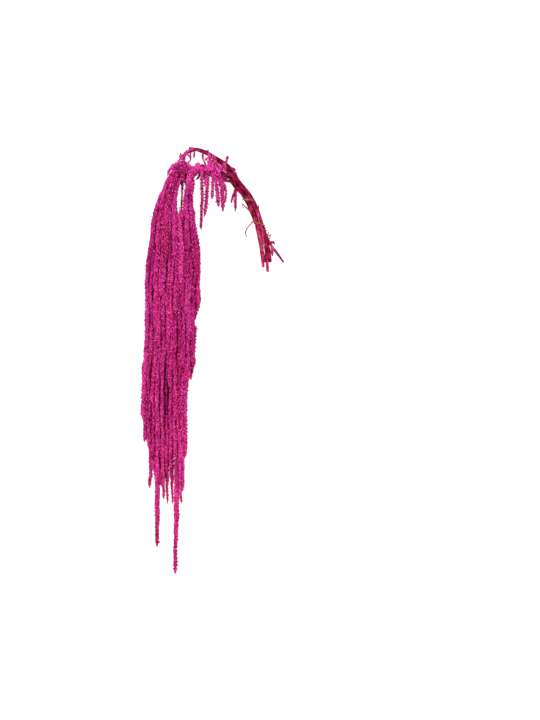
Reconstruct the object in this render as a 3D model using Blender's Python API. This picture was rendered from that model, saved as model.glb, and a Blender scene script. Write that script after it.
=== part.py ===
"""Hanging amaranth: five crimson stalks tied in a bunch, each with a head of drooping flower ropes.

The bunch is laid down on the plane z = 0. Its own length runs along Y, its width along X, and the viewer
looks down on it. Places in the plan are columns and rows of the photograph, which place() turns into metres.
"""
import bmesh
import bpy
import numpy as np
from mathutils import Vector

# Driving dimensions, in metres
MM = 0.001
LENGTH = 0.643                    # from the top of the arch to the lowest tip
ROPE_RADIUS = 3.9 * MM            # a flower rope is close to 8 mm thick
ROPE_PITCH = 8.2 * MM             # between neighbouring ropes on top of the heap
UNDER_PITCH = 12.5 * MM           # and underneath it
STATION = 10.5 * MM               # between the rings of a rope in the heap
DROP_STATION = 13 * MM            # and of a rope that hangs from the arch
ROPE_LENGTH = 0.175               # the usual length of one rope
GAP = 0.35 * MM                   # kept between the heads, and between stalks
RELIEF = 0.74                     # how deep the hollows between a rope's knobs are
ROPE_SIDES = 6
STALK_RADIUS = 2.25 * MM          # in the bundle
BUNDLE_PITCH = 4.85 * MM          # between neighbouring stalks of the bundle
SEAT_LENGTH = 7 * MM              # of a stalk's last straight stretch, in line with its head's core
TIE_THICKNESS = 0.9 * MM
TIE_WIDTH = 1.3 * MM
TIE_SLANT = np.radians(38)          # between a tie and the straight way across the bundle
SEED = 11

# The photograph: rows of the arch's top and of the lowest tip, and the middle of the bunch
TOP_ROW, TIP_ROW = 147.0, 575.5
MIDDLE_COLUMN, MIDDLE_ROW = 212.0, 361.5
PIXEL = LENGTH / (TIP_ROW - TOP_ROW)

# The heap of ropes: row, left and right column, height in mm
HEAP = [
    (160, 176, 184, 20), (165, 172.8, 189, 23), (172, 168.4, 193, 27), (182, 162.6, 194, 31),
    (192, 158.2, 193.4, 34), (205, 155.2, 192.6, 38), (222, 151.5, 195.4, 42), (245, 149, 199, 44),
    (270, 145.8, 200.8, 45), (285, 145, 199.6, 45), (305, 144.6, 197, 45), (325, 145.2, 195, 44),
    (355, 143.8, 194.6, 42), (372, 141.6, 191.5, 39), (388, 140.6, 187.6, 37), (415, 141.6, 187.2, 33),
    (432, 143.4, 186.8, 29), (446, 146.8, 186.4, 25), (458, 152, 185.4, 21), (480, 154, 183.6, 16),
    (500, 154.4, 182.4, 11), (508, 154.4, 181.6, 9), (580, 154.4, 181, 9),
]
# Where the ropes of the heap end, as column and row
LOWEST = [
    (141, 420), (145, 440), (149, 452), (155, 468), (160, 490), (164, 499), (168, 504), (173, 505),
    (180, 503), (184, 480), (187, 455), (190, 386), (193, 374), (196, 330), (200, 305),
]
# The opening under the arch that ropes keep clear of: first and last row, left and right column
OPENING = (186, 210, 177.5, 183.8)

# Each head's core: column, row, height and radius in mm. Below the heap it is the head's own long rope
CORES = {
    "head_1": [
        (189.4, 151.8, 21, 2.8), (185.6, 153.6, 21.5, 3.0), (182.2, 157, 22, 3.2), (179, 164, 22.8, 4.0),
        (175.5, 170, 25, 6.4), (169.5, 184, 27, 8),
        (164.5, 205, 29, 8.4), (161.5, 235, 30, 8.4), (160, 270, 31, 8), (158, 310, 31, 8),
        (157, 350, 28, 7.5), (156, 390, 24, 7), (156, 430, 17, 6), (156, 470, 9, 4.6),
        (156, 505, 4, 3.9), (155.4, 549, 3, 3.2)],
    "head_2": [
        (191, 150.5, 9.5, 2.8), (187.6, 151.8, 9.4, 3.0), (185.8, 155.2, 9.2, 3.1), (184.8, 159.5, 9, 3.3),
        (183.4, 164, 9.3, 3.7), (182, 167, 9.8, 4), (179, 172, 11, 5), (174, 187, 12, 6.5),
        (170, 207, 13, 7.5), (167, 235, 14, 8), (164, 270, 15, 8), (163, 310, 15, 8),
        (164, 350, 15, 7.5), (165, 390, 13, 7), (165.5, 430, 10, 6), (166, 470, 6, 4.6),
        (166.5, 505, 3, 3.3)],
    "head_3": [
        (221, 172.5, 27, 3.5), (214, 169.6, 27.5, 4.4), (205.5, 168.4, 28, 4.4), (197.5, 168.8, 28, 4.4),
        (192.6, 171.5, 28, 5), (190, 178, 28, 5), (188, 192, 28, 5.5), (186.4, 215, 29, 6.5),
        (183.5, 250, 31, 8),
        (181, 290, 31, 8), (180, 340, 29, 8), (179, 390, 24, 7), (178, 430, 18, 6), (177, 470, 11, 4.8),
        (176, 500, 5, 4.1), (175.5, 530, 3.5, 3.7), (174.5, 575.5, 3, 3)],
    "head_4": [
        (221.5, 175, 16, 3.5), (214, 172, 16.5, 4.4), (206, 169.6, 17, 4.4), (198, 169.6, 17, 4.4),
        (192.6, 173.4, 17, 4.6), (189.8, 182, 17, 4.8), (188.5, 196, 17, 5.5), (189, 222, 18, 7),
        (190, 260, 19, 8),
        (190, 300, 19, 8), (189, 330, 17, 7), (187.5, 355, 14, 6), (186.5, 385, 10, 4.6),
        (186, 425, 6, 4), (186, 456, 4, 3.2)],
    "head_5": [
        (220.5, 178, 6, 3.5), (213, 174.6, 6, 4.4), (205, 171.2, 6, 4.4), (197.6, 170.6, 6, 4.4),
        (192, 174.6, 6, 4.4), (189, 186.5, 6, 4.5), (187, 200, 7, 5.5), (182, 224, 10, 6.5),
        (178, 255, 12, 8),
        (176, 300, 13, 8), (175, 350, 13, 7.5), (174, 400, 12, 6.5), (173, 440, 8, 5.5),
        (172, 475, 5, 4.3), (171.3, 506, 3, 3.2)],
}
# The row where each head's core enters the heap
ENTRY = {"head_1": 166, "head_2": 167, "head_3": 177, "head_4": 181, "head_5": 186}

# Ropes that stand out of the heap's edges: head, column and row of the root, column and row of the tip, and
# the length at the tip that leaves the heap, in mm
LOOSE = [
    ("head_1", 157, 395, 148.8, 490, 62), ("head_1", 156, 330, 146, 442, 26),
    ("head_1", 157, 300, 143.5, 419, 22), ("head_1", 157, 270, 142.5, 382, 26),
    ("head_4", 191, 226, 198.2, 305, 46), ("head_4", 190, 262, 194.5, 367, 22),
]
# Ropes that hang from the flowering arch: head, then column and row of the root, the middle and the tip, and
# the radius in mm
DROPS = [
    ("head_4", 202, 169.6, 201.7, 197, 200.8, 229.5, 2.8),
    ("head_4", 205.8, 169.4, 207.1, 192, 203.4, 216.5, 3.1),
    ("head_4", 204.6, 169.6, 205.4, 178, 204.6, 187, 2.7),
    ("head_3", 200.8, 169, 197.6, 163.6, 195.4, 171, 2.5),
    ("head_5", 200.5, 171.5, 198.6, 175.6, 195.6, 179.2, 2.2),
    ("head_3", 213, 169, 210.4, 161, 208.8, 152.6, 3.2),
    ("head_3", 213.5, 169.2, 214.6, 162, 212, 155, 4.5),
    ("head_3", 217.5, 170.8, 222.8, 168.4, 224.4, 162.8, 4.0),
    ("head_3", 217, 170.4, 223, 168.6, 226.4, 166.6, 3.0),
    ("head_3", 212, 168.8, 212.7, 184, 212, 199, 2.9),
    ("head_3", 215, 169.8, 216.8, 188, 218.2, 206.5, 3.5),
    ("head_3", 218, 171, 221.6, 190, 223, 211.5, 3.6),
    ("head_4", 215, 174, 225.2, 186, 223.8, 203, 2.2),
    ("head_4", 215.4, 173, 219.4, 179, 225, 181, 3.4),
    ("head_1", 182.2, 157, 181, 155.4, 180.4, 152.8, 2.4),
    ("head_1", 186.2, 153.6, 190, 157, 190.3, 161, 1.7),
    ("head_1", 180, 162, 184.8, 162.8, 189.6, 166.8, 3.5),
    ("head_1", 179, 164.2, 184.2, 167, 187, 174, 3.6),
    ("head_1", 177, 167.5, 181.4, 171, 183, 182.5, 3.6),
    ("head_1", 178.4, 165.4, 174, 165, 170.6, 169.6, 3.2),
    ("head_1", 176.5, 168.4, 171.4, 168.6, 168, 176.5, 3.2),
    ("head_2", 183.2, 164.6, 187, 167, 188, 176, 3.4),
    ("head_2", 182, 167, 185.4, 173, 185, 184.5, 3.6),
    ("head_2", 181, 169, 182.2, 176, 181.6, 186, 3.4),
    ("head_2", 184, 177, 181.6, 192, 181.4, 207, 1.8),
]

# The bundle's middle line, from the lower tie to the foot of the arch, as column and row
BUNDLE = [(259.8, 226.8), (253.8, 208.8), (246.6, 195), (237.6, 184)]
# Each stalk: its place across the bundle, its layer in it, its thickness at the cut end as a share of the
# usual, its way from the cut end to the bundle and its way from there to its head. A way lists column, row and
# height in mm
STALKS = {
    "stalk_1": (0.5, 1, 1.05, [(270.2, 262, 7), (267.8, 246, 7.6)],
                [(232.4, 174.4, 11.5), (226, 167.4, 14.5), (214, 158.8, 17), (203.4, 152.2, 19)]),
    "stalk_2": (1.0, 0, 0.7, [(283.8, 262, 3), (275, 250, 3), (268, 239.5, 3)],
                [(234.2, 172.5, 4), (227, 164.4, 7), (214.8, 156.6, 9), (203, 150.2, 10)]),
    "stalk_3": (-0.5, 1, 0.95, [(264.8, 262, 7.8), (261.8, 247, 7.8)],
                [(230.5, 174.6, 18)]),
    "stalk_4": (0.0, 0, 1.05, [(267.8, 271.5, 3), (265.6, 248, 3)],
                [(230.6, 177.4, 7.5)]),
    "stalk_5": (-1.0, 0, 0.95, [(263.2, 267, 3), (260.6, 246, 3)],
                [(230.5, 180.8, 4.5)]),
}
# Stubs, twigs and tufts on the stalks: stalk, column and row beside it, column and row of the end, and the
# radius in mm
TWIGS = [
    ("stalk_5", 254.2, 219, 246.6, 236.5, 0.9), ("stalk_5", 250, 213, 242.6, 203.4, 1.0),
    ("stalk_2", 257.5, 212, 258.8, 203.5, 0.9), ("stalk_2", 266, 236, 271.5, 234, 0.9),
    ("stalk_2", 268.5, 240.5, 275, 243.5, 1.2), ("stalk_2", 272, 245.5, 272.6, 255.5, 1.6),
    ("stalk_1", 225.5, 166.5, 227.8, 155.6, 1.5), ("stalk_2", 205.5, 151.4, 208.8, 149.8, 1.2),
    ("stalk_2", 194.2, 149.2, 191.4, 147.6, 1.5), ("stalk_1", 202.5, 151.8, 202.8, 160.5, 1.2),
    ("stalk_5", 235.2, 187, 235.2, 210.5, 1.7), ("stalk_2", 229.6, 167, 235.6, 169.6, 1.9),
    ("stalk_2", 233, 171, 236.4, 174.4, 1.9), ("stalk_5", 235, 188, 230.8, 202.5, 1.5),
    ("stalk_2", 262.8, 229.5, 265.8, 227, 0.9), ("stalk_1", 195, 150.6, 193.8, 158.4, 1.2),
]
# Where the two ties go round the bundle: the points of its middle line before and after, and how far between
TIES = {"tie_1": (0, 1, 0.22), "tie_2": (1, 2, 0.69)}

COLOURS = {
    "head": ((0.42, 0.025, 0.15), 0.85),
    "stalk": ((0.27, 0.02, 0.06), 0.6),
    "tie": ((0.36, 0.16, 0.09), 0.7),
}


def place(column, row):
    """Plan position in metres of a place in the photograph."""
    return (column - MIDDLE_COLUMN) * PIXEL, (MIDDLE_ROW - row) * PIXEL


def columns(values):
    return (np.asarray(values, float) - MIDDLE_COLUMN) * PIXEL


def rows(values):
    return (MIDDLE_ROW - np.asarray(values, float)) * PIXEL


def along(y, path_y, values):
    """A value that a path or a table gives at each height y, where path_y falls from top to bottom."""
    return np.interp(-np.asarray(y), -np.asarray(path_y), values)


def heap_at(y):
    """Left and right edge and height of the heap."""
    table = np.array(HEAP, float)
    edge = rows(table[:, 0])
    return (along(y, edge, columns(table[:, 1])), along(y, edge, columns(table[:, 2])),
            along(y, edge, table[:, 3] * MM))


def heap_places(left, right, height):
    """Places side by side round a heap's section, closer on top than underneath, as x and z."""
    half, high = (right - left) / 2 - ROPE_RADIUS, height - 2 * ROPE_RADIUS
    turn = np.linspace(0, np.pi, 200)
    x = np.sign(np.cos(turn)) * np.abs(np.cos(turn)) ** 0.85 * half
    z = np.abs(np.sin(turn)) ** 0.85 * high
    run = np.concatenate([[0], np.cumsum(np.hypot(np.diff(x), np.diff(z)))])
    top = np.arange(0, run[-1], ROPE_PITCH)
    under = np.arange(-half + UNDER_PITCH, half - UNDER_PITCH / 2, UNDER_PITCH)
    middle = (left + right) / 2
    return (np.concatenate([middle + np.interp(top, run, x), middle + under]),
            np.concatenate([ROPE_RADIUS + np.interp(top, run, z), np.full(len(under), 0.55 * ROPE_RADIUS)]))


def smooth(t):
    t = np.clip(t, 0, 1)
    return t * t * (3 - 2 * t)


class Heap:
    """All ropes of the heap and the heads' cores, as circles at every station down the bunch."""

    def __init__(self):
        top, bottom = place(0, 160)[1], place(0, TIP_ROW)[1]
        self.levels = top - STATION * np.arange(int((top - bottom) / STATION) + 2)
        self.names = list(CORES)
        self.cores = []
        for name in self.names:
            table = np.array([p for p in CORES[name] if p[1] >= ENTRY[name] - 1], float)
            self.cores.append((columns(table[:, 0]), rows(table[:, 1]), table[:, 2] * MM, table[:, 3] * MM))
        self.ropes = []
        self.plan()
        self.add_loose()
        self.settle()
        self.clear()

    def plan(self):
        """Follows each place of the heap's widest section up and down, with ropes end to end."""
        draw = np.random.default_rng(SEED)
        widest = place(0, 290)[1]
        left, right, height = heap_at(widest)
        x0, z0 = heap_places(left, right, height)
        middle, half = (left + right) / 2, (right - left) / 2 - ROPE_RADIUS
        across = (x0 - middle) / half
        up = (z0 - ROPE_RADIUS) / (height - 2 * ROPE_RADIUS)
        order = draw.permutation(len(x0))
        left, right, height = heap_at(self.levels)
        room = np.array([len(heap_places(*s)[0]) for s in zip(left, right, height)])
        lowest = rows([p[1] for p in LOWEST])
        under_edge = columns([p[0] for p in LOWEST])
        first, last, open_left, open_right = OPENING
        for rank, k in enumerate(order):
            x = (left + right) / 2 + across[k] * ((right - left) / 2 - ROPE_RADIUS)
            z = ROPE_RADIUS + up[k] * (height - 2 * ROPE_RADIUS)
            end = np.interp(x, under_edge, lowest) + 30 * MM * max(up[k], 0) * draw.uniform(0, 1)
            fits = (room > rank) & (self.levels > end)
            in_opening = (self.levels < place(0, first)[1]) & (self.levels > place(0, last)[1])
            in_opening &= x > place(open_left, 0)[0] - ROPE_RADIUS
            in_opening &= x < place(open_right, 0)[0] + ROPE_RADIUS
            if in_opening.any():
                fits &= self.levels < place(0, last - 24)[1]
            elif x[np.flatnonzero(self.levels < place(0, first)[1])[0]] > place(open_right, 0)[0]:
                fits &= self.levels < place(0, first + 3)[1]
            lives = np.flatnonzero(fits)
            if len(lives) < 7:
                continue
            start = self.levels[lives[0]] + draw.uniform(-6, 6) * MM
            stop = self.levels[lives[-1]] + draw.uniform(-8, 8) * MM
            count = max(1, round((start - stop) / ROPE_LENGTH))
            cuts = start + (stop - start) * np.arange(count + 1) / count
            cuts[1:-1] += draw.uniform(-25, 25, count - 1) * MM
            for a, b in zip(cuts[:-1], cuts[1:]):
                root = a + (0 if a == start else draw.uniform(14, 26) * MM)
                head = self.nearest(root - 25 * MM, x, z)
                self.add(head, root, b, x, z, draw.uniform(0.88, 1.0) * ROPE_RADIUS)

    def nearest(self, y, x, z):
        """The head whose core is nearest to a rope's place at y."""
        here = np.array([along(y, self.levels, x), along(y, self.levels, z)])
        best, found = 9.0, 0
        for k, (cx, cy, cz, cr) in enumerate(self.cores):
            if not cy[-1] + 45 * MM < y < cy[0] - 20 * MM:
                continue
            apart = np.hypot(*(np.array([along(y, cy, cx), along(y, cy, cz)]) - here))
            if apart < best:
                best, found = apart, k
        return found

    def add(self, head, root, tip, x, z, radius, free=0):
        cx, cy, cz, _ = self.cores[head]
        root = min(root, cy[0] - 12 * MM)
        if root - tip < 45 * MM:
            return
        self.ropes.append(dict(head=head, root=root, tip=tip, x=x, z=z, radius=radius, free=free))

    def add_loose(self):
        for name, column, row, tip_column, tip_row, free in LOOSE:
            root, tip = place(0, row)[1], place(0, tip_row)[1]
            run = np.clip((root - self.levels) / (root - tip), 0, 1)
            x = columns(column) + (columns(tip_column) - columns(column)) * smooth(run * 1.6)
            z = 9 * MM - 6 * MM * run
            self.add(self.names.index(name), root, tip, x, z, 0.85 * ROPE_RADIUS, free * MM)

    def settle(self, rounds=220):
        """Pushes the circles apart and down, inside the heap's edges, and keeps every rope smooth."""
        cores, levels = len(self.cores), self.levels
        n, m = cores + len(self.ropes), len(levels)
        x, z, r = np.zeros((n, m)), np.zeros((n, m)), np.zeros((n, m))
        on, young = np.zeros((n, m), bool), np.zeros((n, m), bool)
        head = np.array(list(range(cores)) + [rope["head"] for rope in self.ropes])
        loose = np.zeros((n, m), bool)
        for k, (cx, cy, cz, cr) in enumerate(self.cores):
            on[k] = (levels <= cy[0] + 1e-6) & (levels >= cy[-1])
            x[k], z[k], r[k] = along(levels, cy, cx), along(levels, cy, cz), along(levels, cy, cr)
        for i, rope in enumerate(self.ropes, cores):
            k = rope["head"]
            on[i] = (levels <= rope["root"]) & (levels >= rope["tip"])
            out = smooth((rope["root"] - levels) / (32 * MM))
            x[i] = x[k] + out * (rope["x"] - x[k])
            z[i] = z[k] + out * (rope["z"] - z[k])
            grown = np.clip(0.35 + (rope["root"] - levels) / (26 * MM), 0, 1)
            point = np.clip((levels - rope["tip"]) / (32 * MM), 0, 1) ** 0.6
            r[i] = rope["radius"] * grown * np.maximum(point, 0.3)
            young[i] = rope["root"] - levels < 24 * MM
            loose[i] = levels - rope["tip"] < rope["free"]
        left, right, height = heap_at(levels)
        aim_x, aim_z = x.copy(), z.copy()
        first, last, open_left, open_right = OPENING
        opening = (levels < place(0, first)[1]) & (levels > place(0, last)[1])
        open_left, open_right = place(open_left, 0)[0], place(open_right, 0)[0]
        goes_right = aim_x[head] > (open_left + open_right) / 2
        stiff = np.where(np.arange(n) < cores, 0.2, 1.0)[:, None, None]
        stiff = np.broadcast_to(stiff, (n, n, m))
        yields = stiff / (stiff + stiff.transpose(1, 0, 2))
        free = np.zeros((n, n, m), bool)
        for i in range(cores, n):
            free[i, head[i]] = free[head[i], i] = young[i]
        meets = on[:, None] & on[None] & ~free & ~np.eye(n, dtype=bool)[:, :, None]
        inner = on & np.roll(on, 1, 1) & np.roll(on, -1, 1)
        floor = np.where(np.arange(n)[:, None] < cores, 0.9, 0.52) * r
        first_on = on.argmax(1)
        for _ in range(rounds):
            dx, dz = x[:, None] - x[None], z[:, None] - z[None]
            apart = np.hypot(dx, dz) + 1e-9
            overlap = np.clip(r[:, None] + r[None] + GAP - apart, 0, None)
            push = np.where(meets, overlap, 0) * yields * 0.6 / apart
            x += (push * dx).sum(1)
            z += (push * dz).sum(1)
            for now, aim in ((x, aim_x), (z, aim_z)):
                between = (np.roll(now, 1, 1) + np.roll(now, -1, 1)) / 2
                now += np.where(inner, 0.2 * (between - now), 0) + np.where(on, 0.02 * (aim - now), 0)
            z -= 0.05 * MM
            np.maximum(z, floor, out=z)
            x[:] = np.where(loose, x, np.clip(x, left + r, right - r))
            beside = np.where(goes_right, np.maximum(x, open_right + r), np.minimum(x, open_left - r))
            x[:] = np.where(opening, beside, x)
            for i in range(cores, n):
                j = first_on[i]
                x[i, j], z[i, j] = x[head[i], j], z[head[i], j]
        self.x, self.z, self.r, self.on, self.head = x, z, r, on, head

    def clear(self):
        """Makes circles of different heads smaller where they still come closer than the gap."""
        other = self.head[:, None] != self.head[None]
        meets = self.on[:, None] & self.on[None] & other[:, :, None]
        apart = np.hypot(self.x[:, None] - self.x[None], self.z[:, None] - self.z[None])
        size = self.r[:, None] + self.r[None]
        fits = np.clip((apart - GAP) / np.maximum(size, MM), 0.1, 1)
        self.r = self.r * np.where(meets, fits, 1).min(1)

    def lines(self, name):
        """Centre line and radii of the core and of every rope of a head."""
        found = []
        for i in np.flatnonzero(self.head == self.names.index(name)):
            j = np.flatnonzero(self.on[i])
            points = [Vector(p) for p in zip(self.x[i, j], self.levels[j], self.z[i, j])]
            radii = list(self.r[i, j])
            tip = self.cores[i][1][-1] if i < len(self.cores) else self.ropes[i - len(self.cores)]["tip"]
            if i < len(self.cores):
                arch = [p for p in CORES[name] if p[1] < ENTRY[name]]
                points = [Vector((*place(*p[:2]), p[2] * MM)) for p in arch] + points
                radii = [p[3] * MM for p in arch] + radii
            if points[-1].y - tip > 2 * MM:
                points.append(points[-1] + (points[-1] - points[-2]).normalized() * (points[-1].y - tip))
                radii.append(0)
            found.append((points, radii))
        return found


def drop_line(name, column, row, middle_column, middle_row, tip_column, tip_row, radius):
    """Centre line and radii of a rope that hangs from the arch, over what lies below it, then down."""
    core = min(CORES[name], key=lambda p: abs(p[0] - column) + abs(p[1] - row))
    bend = Vector((2 * middle_column - (column + tip_column) / 2, 2 * middle_row - (row + tip_row) / 2))
    root, tip = Vector((column, row)), Vector((tip_column, tip_row))
    count = max(3, round((tip - root).length * PIXEL / DROP_STATION))
    points = []
    for t in np.linspace(0, 1, count + 1):
        spot = root.lerp(bend, t).lerp(bend.lerp(tip, t), t)
        fall = smooth((spot.y - 183) / 24)
        points.append(Vector((*place(*spot), core[2] * MM + (4 * MM - core[2] * MM) * fall)))
    share = np.linspace(0, 1, len(points))
    return points, np.interp(share, (0, 0.15, 0.7, 1), (0.6, 1, 0.85, 0)) * radius * MM


def bundle_place(i, across, layer):
    """A stalk's place at one point of the bundle's middle line."""
    before, after = BUNDLE[max(i - 1, 0)], BUNDLE[min(i + 1, len(BUNDLE) - 1)]
    run = (Vector(place(*after)) - Vector(place(*before))).normalized()
    sideways = Vector((run.y, -run.x)) * across * BUNDLE_PITCH
    z = STALK_RADIUS + GAP + TIE_THICKNESS + layer * BUNDLE_PITCH * 0.8660254
    x, y = place(*BUNDLE[i])
    return Vector((x + sideways.x, y + sideways.y, z))


def stalk_line(name):
    """Centre line and radii of a stalk."""
    across, layer, cut, ends, way = STALKS[name]
    points = [Vector((*place(c, r), z * MM)) for c, r, z in ends]
    points += [bundle_place(i, across, layer) for i in range(len(BUNDLE))]
    points += [Vector((*place(c, r), z * MM)) for c, r, z in way]
    core = CORES[name.replace("stalk", "head")]
    seat, inward = [Vector((*place(c, r), z * MM)) for c, r, z, _ in core[:2]]
    outward = (seat - inward).normalized()
    points += [seat + outward * SEAT_LENGTH, seat + outward * GAP]
    run = np.cumsum([0] + [(b - a).length for a, b in zip(points[:-1], points[1:])])
    taper = (cut, 1.0, 0.96, 0.92) if len(way) > 1 else (cut, 1.0, 1.0, 1.0)
    return points, np.interp(run, (0, 0.07, 0.17, 0.27), taper) * STALK_RADIUS


def tie_plane(name):
    """A tie's slanted plane: its middle, its ways sideways, up and along the bundle, the stalks in it."""
    before, after, part_way = TIES[name]
    run = bundle_place(after, 0, 0) - bundle_place(before, 0, 0)
    there = []
    for across, layer in ((-1, 0), (1, 0), (0.5, 1), (-0.5, 1)):
        share = part_way - across * BUNDLE_PITCH * np.tan(TIE_SLANT) / run.length
        there.append(bundle_place(before, across, layer).lerp(bundle_place(after, across, layer), share))
    middle = (there[0] + there[1]) / 2
    side = (there[1] - there[0]).normalized()
    up = side.cross(run).normalized()
    centres = [((spot - middle).dot(side), (spot - middle).dot(up)) for spot in there]
    return middle, (side, up, up.cross(side)), centres


def tie_outline(centres, radius, steps):
    """A closed line at a distance round the stalks. The slanted plane cuts them in ellipses."""
    reach = radius / np.cos(TIE_SLANT) + TIE_WIDTH / 2 * np.tan(TIE_SLANT)
    outline = []
    for k, (x, y) in enumerate(centres):
        before_x, before_y = centres[k - 1]
        after_x, after_y = centres[(k + 1) % len(centres)]
        first = np.arctan2(-(x - before_x), y - before_y)
        last = np.arctan2(-(after_x - x), after_y - y)
        for t in np.linspace(0, 1, steps):
            angle = first + ((last - first) % (2 * np.pi)) * t
            outline.append((x + reach * np.cos(angle), y + radius * np.sin(angle)))
    return outline


def make_material(name, colour, roughness):
    material = bpy.data.materials.new(name)
    material.use_nodes = True
    shader = material.node_tree.nodes["Principled BSDF"]
    shader.inputs["Base Color"].default_value = (*colour, 1)
    shader.inputs["Roughness"].default_value = roughness
    shader.inputs["Metallic"].default_value = 0
    return material


def link(obj, collection):
    collection.objects.link(obj)
    return obj


def knobbly_rope(name, collection, points, radii, draw):
    """A closed rope: rings with a knob at every other corner, set between the last ring's."""
    mesh = bmesh.new()
    rings = []
    for i, (point, radius) in enumerate(zip(points, radii)):
        if radius == 0:
            rings.append([mesh.verts.new((point.x, point.y, max(point.z, 0.5 * MM)))])
            continue
        run = points[min(i + 1, len(points) - 1)] - points[max(i - 1, 0)]
        side = run.cross(Vector((0, 0, 1))).normalized()
        up = side.cross(run).normalized()
        ring = []
        for k in range(ROPE_SIDES):
            angle = 2 * np.pi * k / ROPE_SIDES
            reach = radius * (1 if (k + i) % 2 == 0 else RELIEF) * draw.uniform(0.93, 1.0)
            corner = point + side * (reach * np.cos(angle)) + up * (reach * np.sin(angle))
            corner.z = max(corner.z, 0)
            ring.append(mesh.verts.new(corner))
        rings.append(ring)
    mesh.faces.new(rings[0])
    for first, second in zip(rings[:-1], rings[1:]):
        for k in range(ROPE_SIDES):
            following = (k + 1) % ROPE_SIDES
            if len(second) == 1:
                mesh.faces.new((first[k], first[following], second[0]))
            else:
                mesh.faces.new((first[k], first[following], second[following], second[k]))
    if len(rings[-1]) > 1:
        mesh.faces.new(rings[-1])
    bmesh.ops.recalc_face_normals(mesh, faces=mesh.faces)
    bmesh.ops.triangulate(mesh, faces=mesh.faces)
    data = bpy.data.meshes.new(name)
    mesh.to_mesh(data)
    mesh.free()
    return link(bpy.data.objects.new(name, data), collection)


def fuse(name, pieces, collection, material):
    """One solid from overlapping pieces, in a single union, after which the pieces are removed."""
    base, *others = pieces
    cutters = bpy.data.collections.new(name + "_pieces")
    bpy.context.scene.collection.children.link(cutters)
    for piece in others:
        for holder in list(piece.users_collection):
            holder.objects.unlink(piece)
        cutters.objects.link(piece)
    result = bpy.data.objects.new(name, base.data)
    bpy.data.objects.remove(base)
    link(result, collection)
    if others:
        union = result.modifiers.new("union", "BOOLEAN")
        union.operation = "UNION"
        union.operand_type = "COLLECTION"
        union.collection = cutters
        union.solver = "MANIFOLD"
        bpy.context.view_layer.update()
        graph = bpy.context.evaluated_depsgraph_get()
        data = bpy.data.meshes.new_from_object(result.evaluated_get(graph))
        result.modifiers.clear()
        result.data = data
    for piece in list(cutters.objects):
        bpy.data.objects.remove(piece)
    bpy.data.collections.remove(cutters)
    result.data.name = name
    result.data.materials.clear()
    result.data.materials.append(material)
    return result


def tube(name, collection, points, radii, resolution=1):
    """A round stem along a line of points, as a bevelled curve turned into a mesh."""
    curve = bpy.data.curves.new(name, "CURVE")
    curve.dimensions = "3D"
    curve.bevel_depth = 1
    curve.bevel_resolution = resolution
    curve.use_fill_caps = True
    line = curve.splines.new("POLY")
    line.points.add(len(points) - 1)
    for spot, point, radius in zip(line.points, points, radii):
        spot.co = (*point, 1)
        spot.radius = radius
    obj = link(bpy.data.objects.new(name + "_line", curve), collection)
    bpy.context.view_layer.update()
    data = bpy.data.meshes.new_from_object(obj.evaluated_get(bpy.context.evaluated_depsgraph_get()))
    mesh = bmesh.new()
    mesh.from_mesh(data)
    bmesh.ops.remove_doubles(mesh, verts=mesh.verts, dist=0.00001)
    for corner in mesh.verts:
        corner.co.z = max(corner.co.z, 0)
    bmesh.ops.recalc_face_normals(mesh, faces=mesh.faces)
    mesh.to_mesh(data)
    mesh.free()
    bpy.data.objects.remove(obj)
    bpy.data.curves.remove(curve)
    return link(bpy.data.objects.new(name, data), collection)


def twig(name, collection, points, column, row, end_column, end_row, radius):
    """A stub or twig from the nearest place on a stalk's centre line, with a thick foot and a thin end."""
    beside = Vector((*place(column, row), 0))
    best = None
    for a, b in zip(points[:-1], points[1:]):
        flat = (b - a).to_2d()
        t = min(max((beside.to_2d() - a.to_2d()).dot(flat) / flat.length_squared, 0), 1)
        spot = a.lerp(b, t)
        apart = (spot.to_2d() - beside.to_2d()).length
        if best is None or apart < best[0]:
            best = (apart, spot)
    foot = best[1]
    end = Vector((*place(end_column, end_row), foot.z + 1.5 * MM))
    bend = foot.lerp(end, 0.55) + Vector((0, 0, 1.2 * MM))
    return tube(name, collection, [foot, bend, end], np.array((1, 0.85, 0.45)) * radius * MM, resolution=0)


def tie(name, collection, material):
    """A band round the bundle: a flat outline with a hole, drawn across the stalks."""
    middle, (side, up, along_bundle), centres = tie_plane(name)
    curve = bpy.data.curves.new(name, "CURVE")
    curve.dimensions = "2D"
    curve.fill_mode = "BOTH"
    curve.extrude = TIE_WIDTH / 2
    for radius in (STALK_RADIUS + GAP, STALK_RADIUS + GAP + TIE_THICKNESS):
        outline = tie_outline(centres, radius, 4)
        line = curve.splines.new("POLY")
        line.points.add(len(outline) - 1)
        line.use_cyclic_u = True
        for spot, (x, y) in zip(line.points, outline):
            spot.co = (x, y, 0, 1)
    obj = link(bpy.data.objects.new(name + "_outline", curve), collection)
    bpy.context.view_layer.update()
    data = bpy.data.meshes.new_from_object(obj.evaluated_get(bpy.context.evaluated_depsgraph_get()))
    bpy.data.objects.remove(obj)
    mesh = bmesh.new()
    mesh.from_mesh(data)
    bmesh.ops.remove_doubles(mesh, verts=mesh.verts, dist=0.00001)
    for corner in mesh.verts:
        x, y, z = corner.co
        corner.co = middle + side * x + up * y - along_bundle * z
        corner.co.z = max(corner.co.z, 0)
    bmesh.ops.recalc_face_normals(mesh, faces=mesh.faces)
    if mesh.calc_volume(signed=True) < 0:
        bmesh.ops.reverse_faces(mesh, faces=mesh.faces)
    mesh.to_mesh(data)
    mesh.free()
    data.materials.append(material)
    data.name = name
    return link(bpy.data.objects.new(name, data), collection)


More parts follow.
